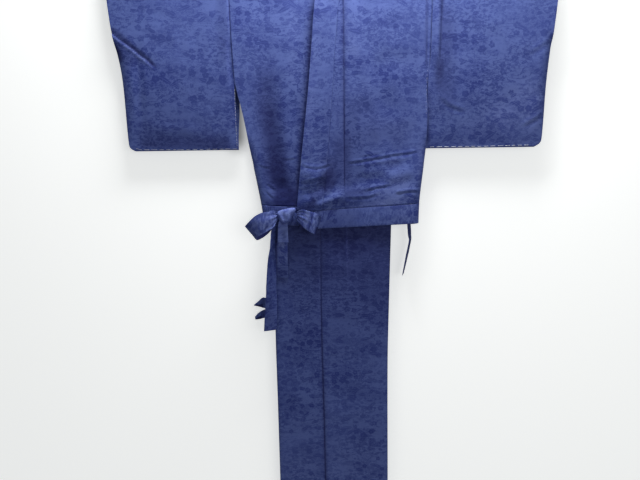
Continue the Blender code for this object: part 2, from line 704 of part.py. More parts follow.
def add_loop(name: str, table: tuple) -> bpy.types.Object:
    """A bow's loop: a strap out from the knot and back, pleated where the knot grips it."""
    def place(fraction: float, number: int) -> Vector:
        along = number / LOOP_STEPS
        here = station_at(table, along)
        across = here.top_across + (here.low_across - here.top_across) * fraction
        drop = here.top_drop + (here.low_drop - here.top_drop) * fraction
        in_front = math.cos(math.pi * along)
        pleat = LOOP_PLEAT * here.pleat * math.cos(2 * math.pi * LOOP_PLEATS * fraction)
        belly = LOOP_BELLY * in_front * math.sin(math.pi * along) * (1 - (2 * fraction - 1) ** 2)
        return garment_point(across, here.y - belly - pleat, drop)

    return add_sheet(name, LOOP_COLUMNS, LOOP_STEPS, place, STRAP)


def knot_mesh(name: str) -> bpy.types.Mesh:
    """The knot as a soft block, wider at its top than at its foot and tilted up to the viewer's right."""
    build = bmesh.new()
    bmesh.ops.create_uvsphere(build, u_segments=16, v_segments=10, radius=1.0)
    for vertex in build.verts:
        side, forward, up = (math.copysign(abs(part) ** KNOT_BOXY, part) for part in vertex.co)
        high = (up + 1) / 2
        half = KNOT_LOW_HALF + (KNOT_TOP_HALF - KNOT_LOW_HALF) * high
        across = side * half + KNOT_LEAN * up
        rise = up * KNOT_HALF_HEIGHT
        turned = across * math.cos(KNOT_TILT) - rise * math.sin(KNOT_TILT)
        raised = across * math.sin(KNOT_TILT) + rise * math.cos(KNOT_TILT)
        vertex.co = (turned, forward * KNOT_HALF_DEPTH, raised)
    return mesh_from(build, name)


def add_knot() -> bpy.types.Object:
    """Adds the knot, and returns the slightly larger cutter that seats the straps on it."""
    centre = garment_point(*KNOT_CENTRE)
    knot = add_cloth("bow_knot", knot_mesh("bow_knot"))
    knot.location = centre
    cutter = bpy.data.objects.new("knot_cutter", knot_mesh("knot_cutter"))
    bpy.data.collections["cutters"].objects.link(cutter)
    cutter.location = centre
    cutter.scale = (KNOT_CLEARANCE, KNOT_CLEARANCE, KNOT_CLEARANCE)
    cutter.hide_render = True
    cutter.display_type = "WIRE"
    return cutter


def cut_by(obj: bpy.types.Object, cutter: bpy.types.Object) -> None:
    modifier = obj.modifiers.new("Cut", "BOOLEAN")
    modifier.operation = "DIFFERENCE"
    modifier.object = cutter


def add_bow() -> None:
    """The knot, its two loops, its tails and the two ties that lead to it."""
    cutter = add_knot()
    held = [
        add_loop("bow_loop_left", LOOP_LEFT_ROWS),
        add_loop("bow_loop_right", LOOP_RIGHT_ROWS),
        add_strap("tail_short", TAIL_SHORT, 5),
        add_strap("tail_under", TAIL_UNDER, 9),
        add_strap("tail_long", TAIL_LONG, 16),
        add_level_strap("tie_root_left", TIE_ROOT_LEFT, 4),
        add_level_strap("tie_root_right", TIE_ROOT_RIGHT, 4),
    ]
    for obj in held:
        cut_by(obj, cutter)
    add_strap("inner_tie", INNER_TIE, 10)


def skirt_drop(number: int) -> float:
    """The drop of a skirt panel's row."""
    top = SKIRT_BAND_DROP + GAP
    return top + (SKIRT_HEM_DROP - top) * number / SKIRT_ROWS


def add_skirt_panel(name: str, from_edge: tuple, to_edge: tuple, face: int, columns: int) -> None:
    """A skirt panel between two edges, turned in at the skirt's own sides. Face is 1 in front, -1 behind."""

    def place(fraction: float, number: int) -> Vector:
        drop = skirt_drop(number)
        low, high = across_at(from_edge, drop), across_at(to_edge, drop)
        low += GAP / 2
        high -= GAP / 2
        spread = 0.5 - 0.5 * math.cos(math.pi * fraction)
        across = low + (high - low) * spread
        inset = min(across - across_at(SKIRT_RIGHT_EDGE, drop), across_at(SKIRT_LEFT_EDGE, drop) - across)
        curl = math.sqrt(1 - (1 - min(max(inset, 0.0) / SKIRT_CURL, 1.0)) ** 2)
        depth = SKIRT_DEPTH * (0.25 + 0.75 * curl)
        return garment_point(across, -face * depth, drop)

    add_sheet(name, columns, SKIRT_ROWS, place, CLOTH)


def add_skirt_core() -> None:
    """The skirt's hidden layers as one solid, with a rounded edge for each layer at both sides."""
    points = SKIRT_CORE_POINTS
    build = bmesh.new()
    rings = []
    for number in range(SKIRT_ROWS + 1):
        drop = skirt_drop(number)
        low = across_at(SKIRT_RIGHT_EDGE, drop) + SKIRT_CORE_INSET
        high = across_at(SKIRT_LEFT_EDGE, drop) - SKIRT_CORE_INSET
        middle, half = (low + high) / 2, (high - low) / 2
        ring = []
        for i in range(points):
            on_side = i % (points // 2) / (points // 2 - 1)
            sign = 1 if i < points // 2 else -1
            y = -sign * SKIRT_HALF_CORE * (1 - 2 * on_side)
            lobe = SKIRT_LAYER_BULGE * abs(math.sin(math.pi * SKIRT_LAYERS * on_side))
            ring.append(build.verts.new(garment_point(middle + sign * (half + lobe), y, drop)))
        rings.append(ring)
    for upper, lower in zip(rings, rings[1:]):
        for i in range(points):
            after = (i + 1) % points
            build.faces.new((upper[i], upper[after], lower[after], lower[i]))
    build.faces.new(rings[0])
    build.faces.new(reversed(rings[-1]))
    bmesh.ops.triangulate(build, faces=[face for face in build.faces if len(face.verts) > 4])
    add_cloth("skirt_core", mesh_from(build, "skirt_core"))


def add_waistband() -> None:
    low = across_at(SKIRT_RIGHT_EDGE, SKIRT_BAND_DROP)
    high = across_at(SKIRT_LEFT_EDGE, SKIRT_BAND_DROP)
    build = bmesh.new()
    bmesh.ops.create_cube(build, size=1.0)
    size = Vector((high - low, 2 * SKIRT_DEPTH + CLOTH, SKIRT_BAND_DROP - SKIRT_TOP_DROP))
    for vertex in build.verts:
        vertex.co = vertex.co * size
    obj = add_cloth("skirt_waistband", mesh_from(build, "skirt_waistband"))
    obj.location = garment_point((low + high) / 2, 0.0, (SKIRT_TOP_DROP + SKIRT_BAND_DROP) / 2)
    bevel = obj.modifiers.new("Soft edges", "BEVEL")
    bevel.width = WAISTBAND_BEVEL
    bevel.segments = 2


def add_skirt_loop(side: Side) -> None:
    """A skirt tie, up from the waistband, over the rod and down behind."""
    lower = [Row(-1.0, drop) for drop in reversed(SKIRT_LOOP_ROWS)]
    over = [Row(math.sin(angle), SKIRT_LOOP_RADIUS * (1 - math.cos(angle))) for angle in OVER_ROD]
    rows = lower + over + [Row(1.0, drop) for drop in SKIRT_LOOP_ROWS]

    def place(fraction: float, number: int) -> Vector:
        row = rows[number]
        across = side.sign * SKIRT_LOOP_ACROSS + SKIRT_LOOP_WIDTH * (fraction - 0.5)
        depth = SKIRT_LOOP_RADIUS
        if abs(row.side) == 1:
            depth -= SKIRT_LOOP_NECK_IN * ease(SKIRT_LOOP_RADIUS, 0.03, row.drop)
            depth -= SKIRT_LOOP_WAIST_IN * ease(0.60, 0.72, row.drop)
        lowered = row.drop + SADDLE - SKIRT_LOOP_RADIUS if abs(row.side) < 1 else row.drop
        return garment_point(across, -row.side * depth, lowered)

    add_sheet(f"skirt_loop_{side.name}", 2, len(rows) - 1, place, STRAP)


def add_tie_end() -> None:
    """A skirt tie hanging behind the skirt, with its end knotted into two points at the right side."""
    curve = bpy.data.curves.new("skirt_tie_end", "CURVE")
    curve.dimensions = "2D"
    curve.fill_mode = "BOTH"
    curve.extrude = STRAP / 2
    spline = curve.splines.new("POLY")
    spline.points.add(len(TIE_END_OUTLINE) - 1)
    for point, corner in zip(spline.points, TIE_END_OUTLINE):
        point.co = (corner.across, SHOULDER_Z - corner.drop, 0.0, 1.0)
    spline.use_cyclic_u = True
    obj = add_cloth("skirt_tie_end", curve)
    obj.rotation_euler = (math.radians(90), 0.0, 0.0)
    obj.location = (0.0, TIE_END_Y, 0.0)


def add_skirt() -> None:
    add_skirt_panel("skirt_okumi", SKIRT_RIGHT_EDGE, SKIRT_SEAM, 1, 6)
    add_skirt_panel("skirt_front", SKIRT_SEAM, SKIRT_LEFT_EDGE, 1, 7)
    add_skirt_panel("skirt_back", SKIRT_RIGHT_EDGE, SKIRT_LEFT_EDGE, -1, 10)
    add_skirt_core()
    add_waistband()
    add_skirt_loop(LEFT)
    add_skirt_loop(RIGHT)
    add_tie_end()


def add_hook() -> None:
    """The wire hook, from its tip over the peg and down into the rod."""
    centre_z = WIRE_RADIUS - HOOK_RADIUS
    route = []
    for i in range(HOOK_STEPS + 1):
        angle = HOOK_FROM - HOOK_SWEEP * i / HOOK_STEPS
        route.append(Vector((HOOK_RADIUS * math.cos(angle), 0.0, centre_z + HOOK_RADIUS * math.sin(angle))))
    start = route[-1]
    stem_top = Vector((0.0, 0.0, STEM_TOP_Z))
    leave = start + (start - route[-2]).normalized() * STEM_PULLS[0]
    arrive = stem_top + Vector((0.0, 0.0, STEM_PULLS[1]))
    for i in range(1, STEM_STEPS + 1):
        t = i / STEM_STEPS
        bend = (1 - t) ** 3 * start + 3 * t * (1 - t) ** 2 * leave + 3 * t**2 * (1 - t) * arrive
        route.append(bend + t**3 * stem_top)
    route.append(Vector((0.0, 0.0, ROD_AXIS_Z + GAP)))
    curve = bpy.data.curves.new("hanger_hook", "CURVE")
    curve.dimensions = "3D"
    curve.bevel_depth = WIRE_RADIUS
    curve.bevel_resolution = 2
    curve.use_fill_caps = True
    spline = curve.splines.new("POLY")
    spline.points.add(len(route) - 1)
    for point, place in zip(spline.points, route):
        point.co = (*place, 1.0)
    add_object("hanger_hook", curve, STEEL_COLOUR, 0.25, 1.0)


def add_rod() -> None:
    """The long rod through both sleeves, drilled at its middle for the hook's stem."""
    build = bmesh.new()
    bmesh.ops.create_cone(
        build, cap_ends=True, segments=20, radius1=ROD_RADIUS, radius2=ROD_RADIUS, depth=2 * ROD_HALF,
    )
    rod = add_object("hanger_rod", mesh_from(build, "hanger_rod"), WOOD_COLOUR, 0.5)
    rod.location = (0.0, 0.0, ROD_AXIS_Z)
    rod.rotation_euler = (0.0, math.radians(90), 0.0)
    bevel = rod.modifiers.new("Rounded ends", "BEVEL")
    bevel.width = ROD_END_BEVEL
    bevel.segments = 2
    bevel.limit_method = "ANGLE"
    bevel.angle_limit = math.radians(60)
    drill = bmesh.new()
    hole = WIRE_RADIUS + GAP
    bmesh.ops.create_cone(drill, cap_ends=True, segments=12, radius1=hole, radius2=hole, depth=2 * ROD_RADIUS)
    cutter = bpy.data.objects.new("stem_drill", mesh_from(drill, "stem_drill"))
    bpy.data.collections["cutters"].objects.link(cutter)
    cutter.location = (0.0, 0.0, ROD_AXIS_Z + ROD_RADIUS)
    cutter.hide_render = True
    cutter.display_type = "WIRE"
    cut_by(rod, cutter)


def main() -> None:
    for obj in list(bpy.data.objects):
        bpy.data.objects.remove(obj)
    for name in ("komon_kimono", "cutters"):
        bpy.context.scene.collection.children.link(bpy.data.collections.new(name))
    add_rod()
    add_hook()
    for side in (LEFT, RIGHT):
        add_body(side)
        add_sleeve(side)
        add_overlap(side)
    add_collar()
    add_left_band()
    add_right_band()
    add_back_band()
    add_bow()
    add_skirt()


main()
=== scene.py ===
"""The visual model of a two-piece komon kimono that hangs on a kimono hanger.

Metres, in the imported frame: X to the viewer's right, Y into the wall and Z up, with the origin where the
hanger's hook bears on its peg. A drop is a depth below the shoulder line, and across is a place along X.
Left and right are the wearer's, so the wearer's left side lies at +X. A depth is how far cloth stands
from the rod's middle plane, toward the viewer on the front and toward the wall on the back.
"""

from __future__ import annotations

import logging
import math
from dataclasses import dataclass
from enum import Enum
from typing import Any, Callable, Dict, Iterable, List, NamedTuple, Optional, Sequence, Tuple, Union

import bmesh
import bpy
from mathutils import Matrix, Vector, noise


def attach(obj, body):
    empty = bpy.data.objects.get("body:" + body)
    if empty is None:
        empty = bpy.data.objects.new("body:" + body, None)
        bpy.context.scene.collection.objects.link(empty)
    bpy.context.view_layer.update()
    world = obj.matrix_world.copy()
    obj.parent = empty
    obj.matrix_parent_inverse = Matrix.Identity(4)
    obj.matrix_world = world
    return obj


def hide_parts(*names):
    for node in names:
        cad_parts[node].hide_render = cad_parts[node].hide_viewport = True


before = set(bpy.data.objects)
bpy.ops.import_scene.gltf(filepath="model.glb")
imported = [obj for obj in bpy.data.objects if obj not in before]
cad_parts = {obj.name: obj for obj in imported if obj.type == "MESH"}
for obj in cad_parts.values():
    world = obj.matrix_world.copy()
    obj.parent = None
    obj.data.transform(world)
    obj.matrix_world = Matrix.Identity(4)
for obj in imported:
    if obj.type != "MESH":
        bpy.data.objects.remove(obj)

LOG = logging.getLogger("kimono")

GAP = 0.0003  # Between edges that meet.
HEM_GAP = 0.0008  # Between a front's last row and its band.
ROD_RADIUS = 0.009
CLOTH = 0.0012  # The lined cloth's thickness, then the bands' and the ties'.
BAND = 0.0024
STRAP = 0.0016
BAND_EDGE = 0.0009  # How far the edges of bands are rounded, then those of ties.
STRAP_EDGE = 0.0006
SADDLE = 0.01005  # The radius at which the middle of the cloth bends over the rod.
SHOULDER_Z = -0.120 + SADDLE
HANG_DEPTH = 0.0123  # How far cloth stands off once it hangs straight, and from which drop on.
HANG_DROP = 0.040
SIDE_ROUND = 0.030  # How far in from a closed side front and back come together.
FLAT_SEAM = 0.0009  # Their depth at the side, then that of the back's band.
BAND_SEAM = 0.00135
FRONT_DROP = 0.735  # The drops at which the fronts and the back are sewn to their bands.
BACK_DROP = 0.727
ARMHOLE_DROP = 0.340
SIDE_OPEN_DROP = 0.500
SIDE_SEAM_DROP = 0.600
BEHIND_ROD = 0.016  # The drops of the first rows behind the rod and before it.
BEFORE_ROD = 0.0145
SEAM_SHADE = 0.0016  # How far a seam's painted shade reaches, then a folded edge's painted highlight.
EDGE_SHINE = 0.0018

Pair = Tuple[float, float]
Triple = Tuple[float, float, float]
Colour = Tuple[float, float, float, float]
Placed = Callable[[float, Any], Vector]
Laid = Callable[[float, Any], Pair]


def ease(low: float, high: float, value: float) -> float:
    """A smooth step that is 0 up to low and 1 from high, read at a value."""
    part = min(max((value - low) / (high - low), 0.0), 1.0)
    return part * part * (3 - 2 * part)


def bump(value: float, centre: float, half: float) -> float:
    """A smooth hill that is 1 at its centre and 0 from half its width on, read at a value."""
    reach = min(abs(value - centre) / half, 1.0)
    return 0.5 + 0.5 * math.cos(math.pi * reach)


def near(distance: float, reach: float) -> float:
    """A soft mark along a line: 1 on it, about a third at its reach and soon nothing."""
    return math.exp(-((distance / reach) ** 2))


def free(drop: float) -> float:
    """How freely cloth hangs at a drop, from 0 on the rod."""
    return ease(0.03, 0.12, drop)


def sewn_at(drop: float) -> float:
    """How clear a seam shows at a drop, from 0 on the rod."""
    return ease(0.05, 0.14, drop)


def spaced(start: float, stop: float, step: float) -> List[float]:
    """Even places from start to stop, about a step apart, both ends included."""
    count = max(round(abs(stop - start) / step), 1)
    return [start + (stop - start) * i / count for i in range(count + 1)]


def parts(count: int) -> List[float]:
    """Even shares from 0 to 1, this many steps."""
    return [i / count for i in range(count + 1)]


def between(first: float, last: float, share: float) -> float:
    """The value at this share of the way from the first to the last."""
    return first + (last - first) * share


def signed(base: float, power: float) -> float:
    """The power of a number's size, with the number's own sign."""
    return math.copysign(abs(base) ** power, base)


def hung(across: float, depth: float, drop: float) -> Vector:
    """The point at this place across, this far toward the viewer and this far below the shoulder."""
    return Vector((across, -depth, SHOULDER_Z - drop))


def unevenness(across: float, drop: float, seed: float, size: float) -> float:
    """How soft cloth wanders there from its smooth form, from -1 to 1, in waves of this size."""
    return noise.noise(Vector((across / size, drop / size, seed)))


class Line:
    """A smooth curve through pairs of a place and a value, with rising places."""

    def __init__(self, *points: Pair) -> None:
        """Keeps the pairs of a place and the value there."""
        self.places, self.values = zip(*points)
        self._known: Dict[float, float] = {}

    def at(self, place: float) -> float:
        """The curve's value at a place, kept once worked out."""
        if place not in self._known:
            self._known[place] = self._work_out(place)
        return self._known[place]

    def _slope(self, i: int) -> float:
        """The curve's slope at one of its points."""
        before, after = max(i - 1, 0), min(i + 1, len(self.places) - 1)
        return (self.values[after] - self.values[before]) / (self.places[after] - self.places[before])

    def _work_out(self, place: float) -> float:
        """The curve's value at a place, held level beyond both ends.

        Args:
            place: Where on the curve.

        Returns:
            The value.
        """
        places, values = self.places, self.values
        if place <= places[0]:
            return values[0]
        if place >= places[-1]:
            return values[-1]
        at = max(i for i in range(len(places) - 1) if places[i] <= place)
        span = places[at + 1] - places[at]
        t = (place - places[at]) / span
        start = (2 * t**3 - 3 * t**2 + 1) * values[at] + (t**3 - 2 * t**2 + t) * span * self._slope(at)
        end = (3 * t**2 - 2 * t**3) * values[at + 1] + (t**3 - t**2) * span * self._slope(at + 1)
        return start + end


class Route:
    """Smooth travel through the rows of a table, each column on a curve of its own."""

    def __init__(self, rows: Sequence[tuple]) -> None:
        """Lays a curve through each column of rows that are all of one kind of named tuple."""
        self.kind = type(rows[0])
        self.columns = [Line(*zip(parts(len(rows) - 1), column)) for column in zip(*rows)]

    def at(self, place: float) -> tuple:
        """The row at a place from 0 to 1."""
        return self.kind(*(column.at(place) for column in self.columns))

    def length(self, point: Callable[[tuple], Vector], steps: int = 40) -> float:
        """How long the route is.

        Args:
            point: Gives a row's place.
            steps: How many chords it is measured by.

        Returns:
            The length in metres.
        """
        places = [point(self.at(part)) for part in parts(steps)]
        return sum((after - before).length for before, after in zip(places, places[1:]))


class Profile(Enum):
    """How a crease rises and falls from side to side."""

    SWELL = "one soft hill, or a hollow where its rise is negative"
    FOLD = "a ridge on the upper side and a hollow on the lower, or the reverse where its rise is negative"


@dataclass
class Crease:
    """A soft crease in hanging cloth.

    Attributes:
        path: Its course as pairs of a place across and a drop, from the viewer's left to right.
        half: Half of its width.
        rise: How far it stands out.
        profile: Its shape from side to side.
        ends: The share of its length over which each end fades.
    """

    path: Tuple[Pair, ...]
    half: float
    rise: float
    profile: Profile = Profile.FOLD
    ends: float = 0.3

    def __post_init__(self) -> None:
        """Measures the course and the box that it fills."""
        self.spans = [math.dist(a, b) for a, b in zip(self.path, self.path[1:])]
        self.total = sum(self.spans)
        sides = list(zip(*self.path))
        self.low = [min(values) - self.half for values in sides]
        self.high = [max(values) + self.half for values in sides]

    def lift(self, across: float, drop: float) -> float:
        """How far the crease moves the cloth outward at a place.

        Args:
            across: The place across.
            drop: The place down.

        Returns:
            The move in metres.
        """
        if not (self.low[0] < across < self.high[0] and self.low[1] < drop < self.high[1]):
            return 0.0
        nearest, side, along, walked = self.half, 1.0, 0.0, 0.0
        for (a0, d0), (a1, d1), span in zip(self.path, self.path[1:], self.spans):
            step_a, step_d = (a1 - a0) / span, (d1 - d0) / span
            off_a, off_d = across - a0, drop - d0
            here = min(max(off_a * step_a + off_d * step_d, 0.0), span)
            distance = math.hypot(off_a - step_a * here, off_d - step_d * here)
            if distance < nearest:
                nearest, along = distance, walked + here
                side = 1.0 if step_a * off_d - step_d * off_a > 0 else -1.0
            walked += span
        if nearest >= self.half:
            return 0.0
        share = along / self.total
        fade = ease(0.0, self.ends, share) * ease(0.0, self.ends, 1 - share)
        reach = nearest / self.half
        if self.profile is Profile.SWELL:
            return self.rise * fade * bump(reach, 0.0, 1.0)
        return -self.rise * fade * side * 1.7 * math.sin(math.pi * reach) * (1 - reach)


def lifted(creases: Iterable[Crease], across: float, drop: float) -> float:
    """How far these creases together move the cloth outward at a place."""
    return sum(crease.lift(across, drop) for crease in creases)


class Row(NamedTuple):
    """A row of a length of cloth: side is 1 on the front, -1 on the back and between over the rod."""

    side: float
    drop: float


def rows_over_rod(
    back: Sequence[float], front: Sequence[float], radius: float = SADDLE, steps: int = 12
) -> List[Row]:
    """The rows of a length of cloth from its back hem, over the rod, to its front hem.

    Args:
        back: The drops of its rows behind, from the top down.
        front: The drops of its rows in front, from the top down.
        radius: How far its middle is from the rod's axis.
        steps: How many steps it takes over the rod.

    Returns:
        The rows in order.
    """
    angles = [math.pi * (part - 0.5) for part in parts(steps)]
    over = [Row(round(math.sin(angle), 9), radius * (1 - math.cos(angle))) for angle in angles]
    return [Row(-1.0, drop) for drop in reversed(back)] + over + [Row(1.0, drop) for drop in front]


@dataclass(frozen=True)
class Side:
    """One side of the jacket, with distances measured outward from the centre.

    Attributes:
        name: Left or right, as the wearer has it.
        sign: 1 toward the viewer's right, -1 toward the left.
        seam: The side seam and armhole, across for a drop.
        cuff: The sleeve's outer edge, across for a drop.
        sleeve_bottom: The drop of the sleeve's lower edge.
        sleeve_inner_end: Where the sleeve's inner edge ends at its bottom.
        seed: The course of its cloth's unevenness.
    """

    name: str
    sign: int
    seam: Line
    cuff: Line
    sleeve_bottom: float
    sleeve_inner_end: float
    seed: float


LEFT = Side(
    "left", 1,
    Line(
        (0.0, 0.2885), (0.28, 0.2855), (0.34, 0.2805), (0.385, 0.277), (0.45, 0.28), (0.57, 0.276),
        (0.72, 0.261), (0.79, 0.259),
    ),
    Line((0.0, 0.655), (0.137, 0.65), (0.35, 0.633), (0.528, 0.6275), (0.545, 0.622), (0.5555, 0.605)),
    0.5555, 0.273, 3.7,
)
RIGHT = Side(
    "right", -1,
    Line(
        (0.0, 0.299), (0.124, 0.299), (0.274, 0.296), (0.354, 0.292), (0.371, 0.2885), (0.456, 0.2695),
        (0.579, 0.249), (0.718, 0.225), (0.79, 0.216),
    ),
    Line(
        (0.0, 0.653), (0.119, 0.651), (0.212, 0.643), (0.332, 0.625), (0.53, 0.619), (0.5445, 0.614),
        (0.5525, 0.6),
    ),
    0.5525, 0.289, 8.1,
)


@dataclass(frozen=True)
class Pattern:
    """Where the jacket's seams and free edges lie as it hangs. Upright ones give across for a drop."""

    collar_seam_left: Line = Line(
        (0.0, 0.09), (0.03, 0.0655), (0.06, 0.045), (0.09, 0.031), (0.142, 0.016), (0.208, 0.01),
        (0.292, 0.0024), (0.354, -0.001), (0.595, -0.022), (0.735, -0.038),
    )
    collar_free_left: Line = Line(
        (0.0, 0.035), (0.035, 0.015), (0.068, -0.015), (0.098, -0.04), (0.127, -0.051), (0.252, -0.063),
        (0.379, -0.075), (0.555, -0.096), (0.735, -0.116),
    )
    collar_seam_right: Line = Line(
        (0.0, -0.09), (0.03, -0.075), (0.06, -0.06), (0.09, -0.046), (0.14, -0.036), (0.735, 0.086),
    )
    collar_free_right: Line = Line(
        (0.0, -0.035), (0.035, -0.018), (0.068, 0.002), (0.098, 0.018), (0.127, 0.028), (0.3, 0.067),
        (0.5, 0.112), (0.735, 0.163),
    )
    overlap_seam_right: Line = Line((0.09, -0.046), (0.15, -0.044), (0.735, 0.015))
    overlap_seam_left: float = 0.031
    overlap_top: float = 0.100
    back_neck: Line = Line((0.0, 0.090), (SADDLE, 0.078), (0.018, 0.052), (0.0235, 0.025), (0.026, 0.0))
    band_top_left: Line = Line(
        (-0.116, 0.737), (-0.07, 0.739), (0.031, 0.735), (0.149, 0.728), (0.261, 0.722),
    )
    band_low_left: Line = Line((-0.116, 0.797), (-0.04, 0.795), (0.07, 0.791), (0.169, 0.786), (0.261, 0.784))
    band_top_right: Line = Line((-0.225, 0.7215), (-0.115, 0.727), (0.163, 0.733))
    band_low_right: Line = Line((-0.225, 0.782), (-0.115, 0.786), (0.163, 0.788))

    def front_inner(self, side: Side, drop: float) -> float:
        """Where a body's front ends at the neck, or at the seam of its overlap.

        Args:
            side: The front's side.
            drop: The place down.

        Returns:
            The place across.
        """
        if side is LEFT:
            return max(self.collar_seam_left.at(drop), self.overlap_seam_left) + GAP / 2
        if drop <= self.overlap_seam_right.places[0]:
            return self.collar_seam_right.at(drop) - GAP / 2
        return self.overlap_seam_right.at(drop) - GAP / 2

    def collar_seam(self, side: Side) -> Line:
        """The collar's seam on a side."""
        return self.collar_seam_left if side is LEFT else self.collar_seam_right

    def settled(self, side: Side, drop: float, across: float) -> float:
        """A front row's drop, moved near the bottom so that the last row follows the band's top."""
        hem = self.band_top_left if side is LEFT else self.band_top_right
        return drop + (hem.at(across) - HEM_GAP - FRONT_DROP) * ease(0.50, FRONT_DROP, drop)


def _creases(profile: Profile, rows: Iterable[tuple]) -> Tuple[Crease, ...]:
    """Creases of one profile, each from its half width, its rise, its fading ends and its path."""
    return tuple(Crease(path, half, rise, profile, ends) for half, rise, ends, *path in rows)


def folds(*rows: tuple) -> Tuple[Crease, ...]:
    """Sharp creases."""
    return _creases(Profile.FOLD, rows)


def swells(*rows: tuple) -> Tuple[Crease, ...]:
    """Soft hills and hollows."""
    return _creases(Profile.SWELL, rows)


OVER_CREASES = folds(
    (0.0085, 0.0014, 0.12, (0.034, 0.5955), (0.072, 0.592), (0.1365, 0.5827), (0.184, 0.5746),
     (0.218, 0.5718), (0.262, 0.5635)),
    (0.008, 0.0006, 0.3, (0.06, 0.579), (0.11, 0.574), (0.15, 0.567)),
    (0.009, 0.0015, 0.3, (-0.108, 0.597), (-0.076, 0.6044), (-0.054, 0.608), (-0.028, 0.6035),
     (0.002, 0.596)),
    (0.012, 0.0012, 0.3, (-0.112, 0.6493), (-0.089, 0.6481), (-0.0616, 0.6424), (-0.028, 0.6337)),
    (0.009, 0.0006, 0.3, (-0.114, 0.688), (-0.09, 0.6832), (-0.059, 0.6759), (-0.0315, 0.6656)),
    (0.009, 0.0014, 0.3, (0.028, 0.6989), (0.0585, 0.703), (0.102, 0.7036), (0.1455, 0.6941)),
    (0.008, 0.002, 0.3, (0.084, 0.6862), (0.102, 0.6809), (0.124, 0.6764), (0.154, 0.6725), (0.178, 0.6688)),
    (0.009, 0.0021, 0.15, (0.183, 0.6984), (0.209, 0.6944), (0.233, 0.6932), (0.262, 0.6957)),
) + swells(
    (0.009, 0.0009, 0.3, (0.045, 0.6085), (0.093, 0.603), (0.145, 0.595), (0.199, 0.59), (0.256, 0.579)),
    (0.032, 0.003, 0.3, (-0.105, 0.616), (-0.06, 0.63), (-0.01, 0.622)),
    (0.026, -0.003, 0.3, (-0.114, 0.69), (-0.08, 0.68), (-0.045, 0.671), (-0.015, 0.655)),
    (0.019, 0.0036, 0.3, (-0.072, 0.735), (-0.023, 0.7102), (0.011, 0.6953), (0.034, 0.6833)),
    (0.034, 0.0034, 0.3, (0.15, 0.65), (0.2, 0.638), (0.246, 0.626)),
    (0.03, -0.0022, 0.3, (0.05, 0.652), (0.11, 0.65), (0.165, 0.645)),
    (0.06, -0.0016, 0.3, (0.06, 0.47), (0.13, 0.43), (0.22, 0.42)),
    (0.05, -0.0014, 0.3, (0.1, 0.33), (0.17, 0.3), (0.26, 0.31)),
)
UNDER_CREASES = folds(
    (0.007, 0.0018, 0.3, (-0.209, 0.662), (-0.193, 0.674), (-0.175, 0.69)),
    (0.007, 0.0016, 0.3, (-0.212, 0.684), (-0.197, 0.7016), (-0.18, 0.716)),
    (0.008, 0.0009, 0.3, (-0.236, 0.6), (-0.21, 0.612), (-0.19, 0.61)),
    (0.007, 0.001, 0.3, (-0.16, 0.583), (-0.14, 0.585), (-0.112, 0.581)),
) + swells(
    (0.04, -0.0022, 0.3, (-0.2, 0.685), (-0.16, 0.675), (-0.12, 0.68)),
)
CUFF_FOLD = (
    (-0.672, 0.188), (-0.6357, 0.219), (-0.6221, 0.2315), (-0.6024, 0.2455), (-0.5824, 0.26),
    (-0.5668, 0.2745), (-0.5509, 0.286), (-0.5351, 0.3005), (-0.5149, 0.3165),
)
SLEEVE_CREASES = {
    RIGHT: folds(
        (0.01, -0.0018, 0.2, *CUFF_FOLD),
    ) + swells(
        (0.022, -0.0018, 0.3, (-0.574, 0.22), (-0.573, 0.345), (-0.577, 0.5)),
        (0.009, -0.0022, 0.3, (-0.3035, 0.2), (-0.3035, 0.29), (-0.299, 0.385)),
        (0.03, 0.0012, 0.3, (-0.56, 0.495), (-0.47, 0.488), (-0.38, 0.495)),
    ),
    LEFT: folds(
        (0.02, 0.0006, 0.3, (0.57, 0.29), (0.6047, 0.2661), (0.64, 0.243)),
        (0.017, 0.0009, 0.3, (0.56, 0.497), (0.6096, 0.4697), (0.634, 0.448)),
        (0.018, 0.0008, 0.3, (0.31, 0.4), (0.345, 0.43), (0.4, 0.45)),
    ) + swells(
        (0.022, -0.0008, 0.5, (0.314, 0.29), (0.3135, 0.35), (0.312, 0.41)),
    ),
}
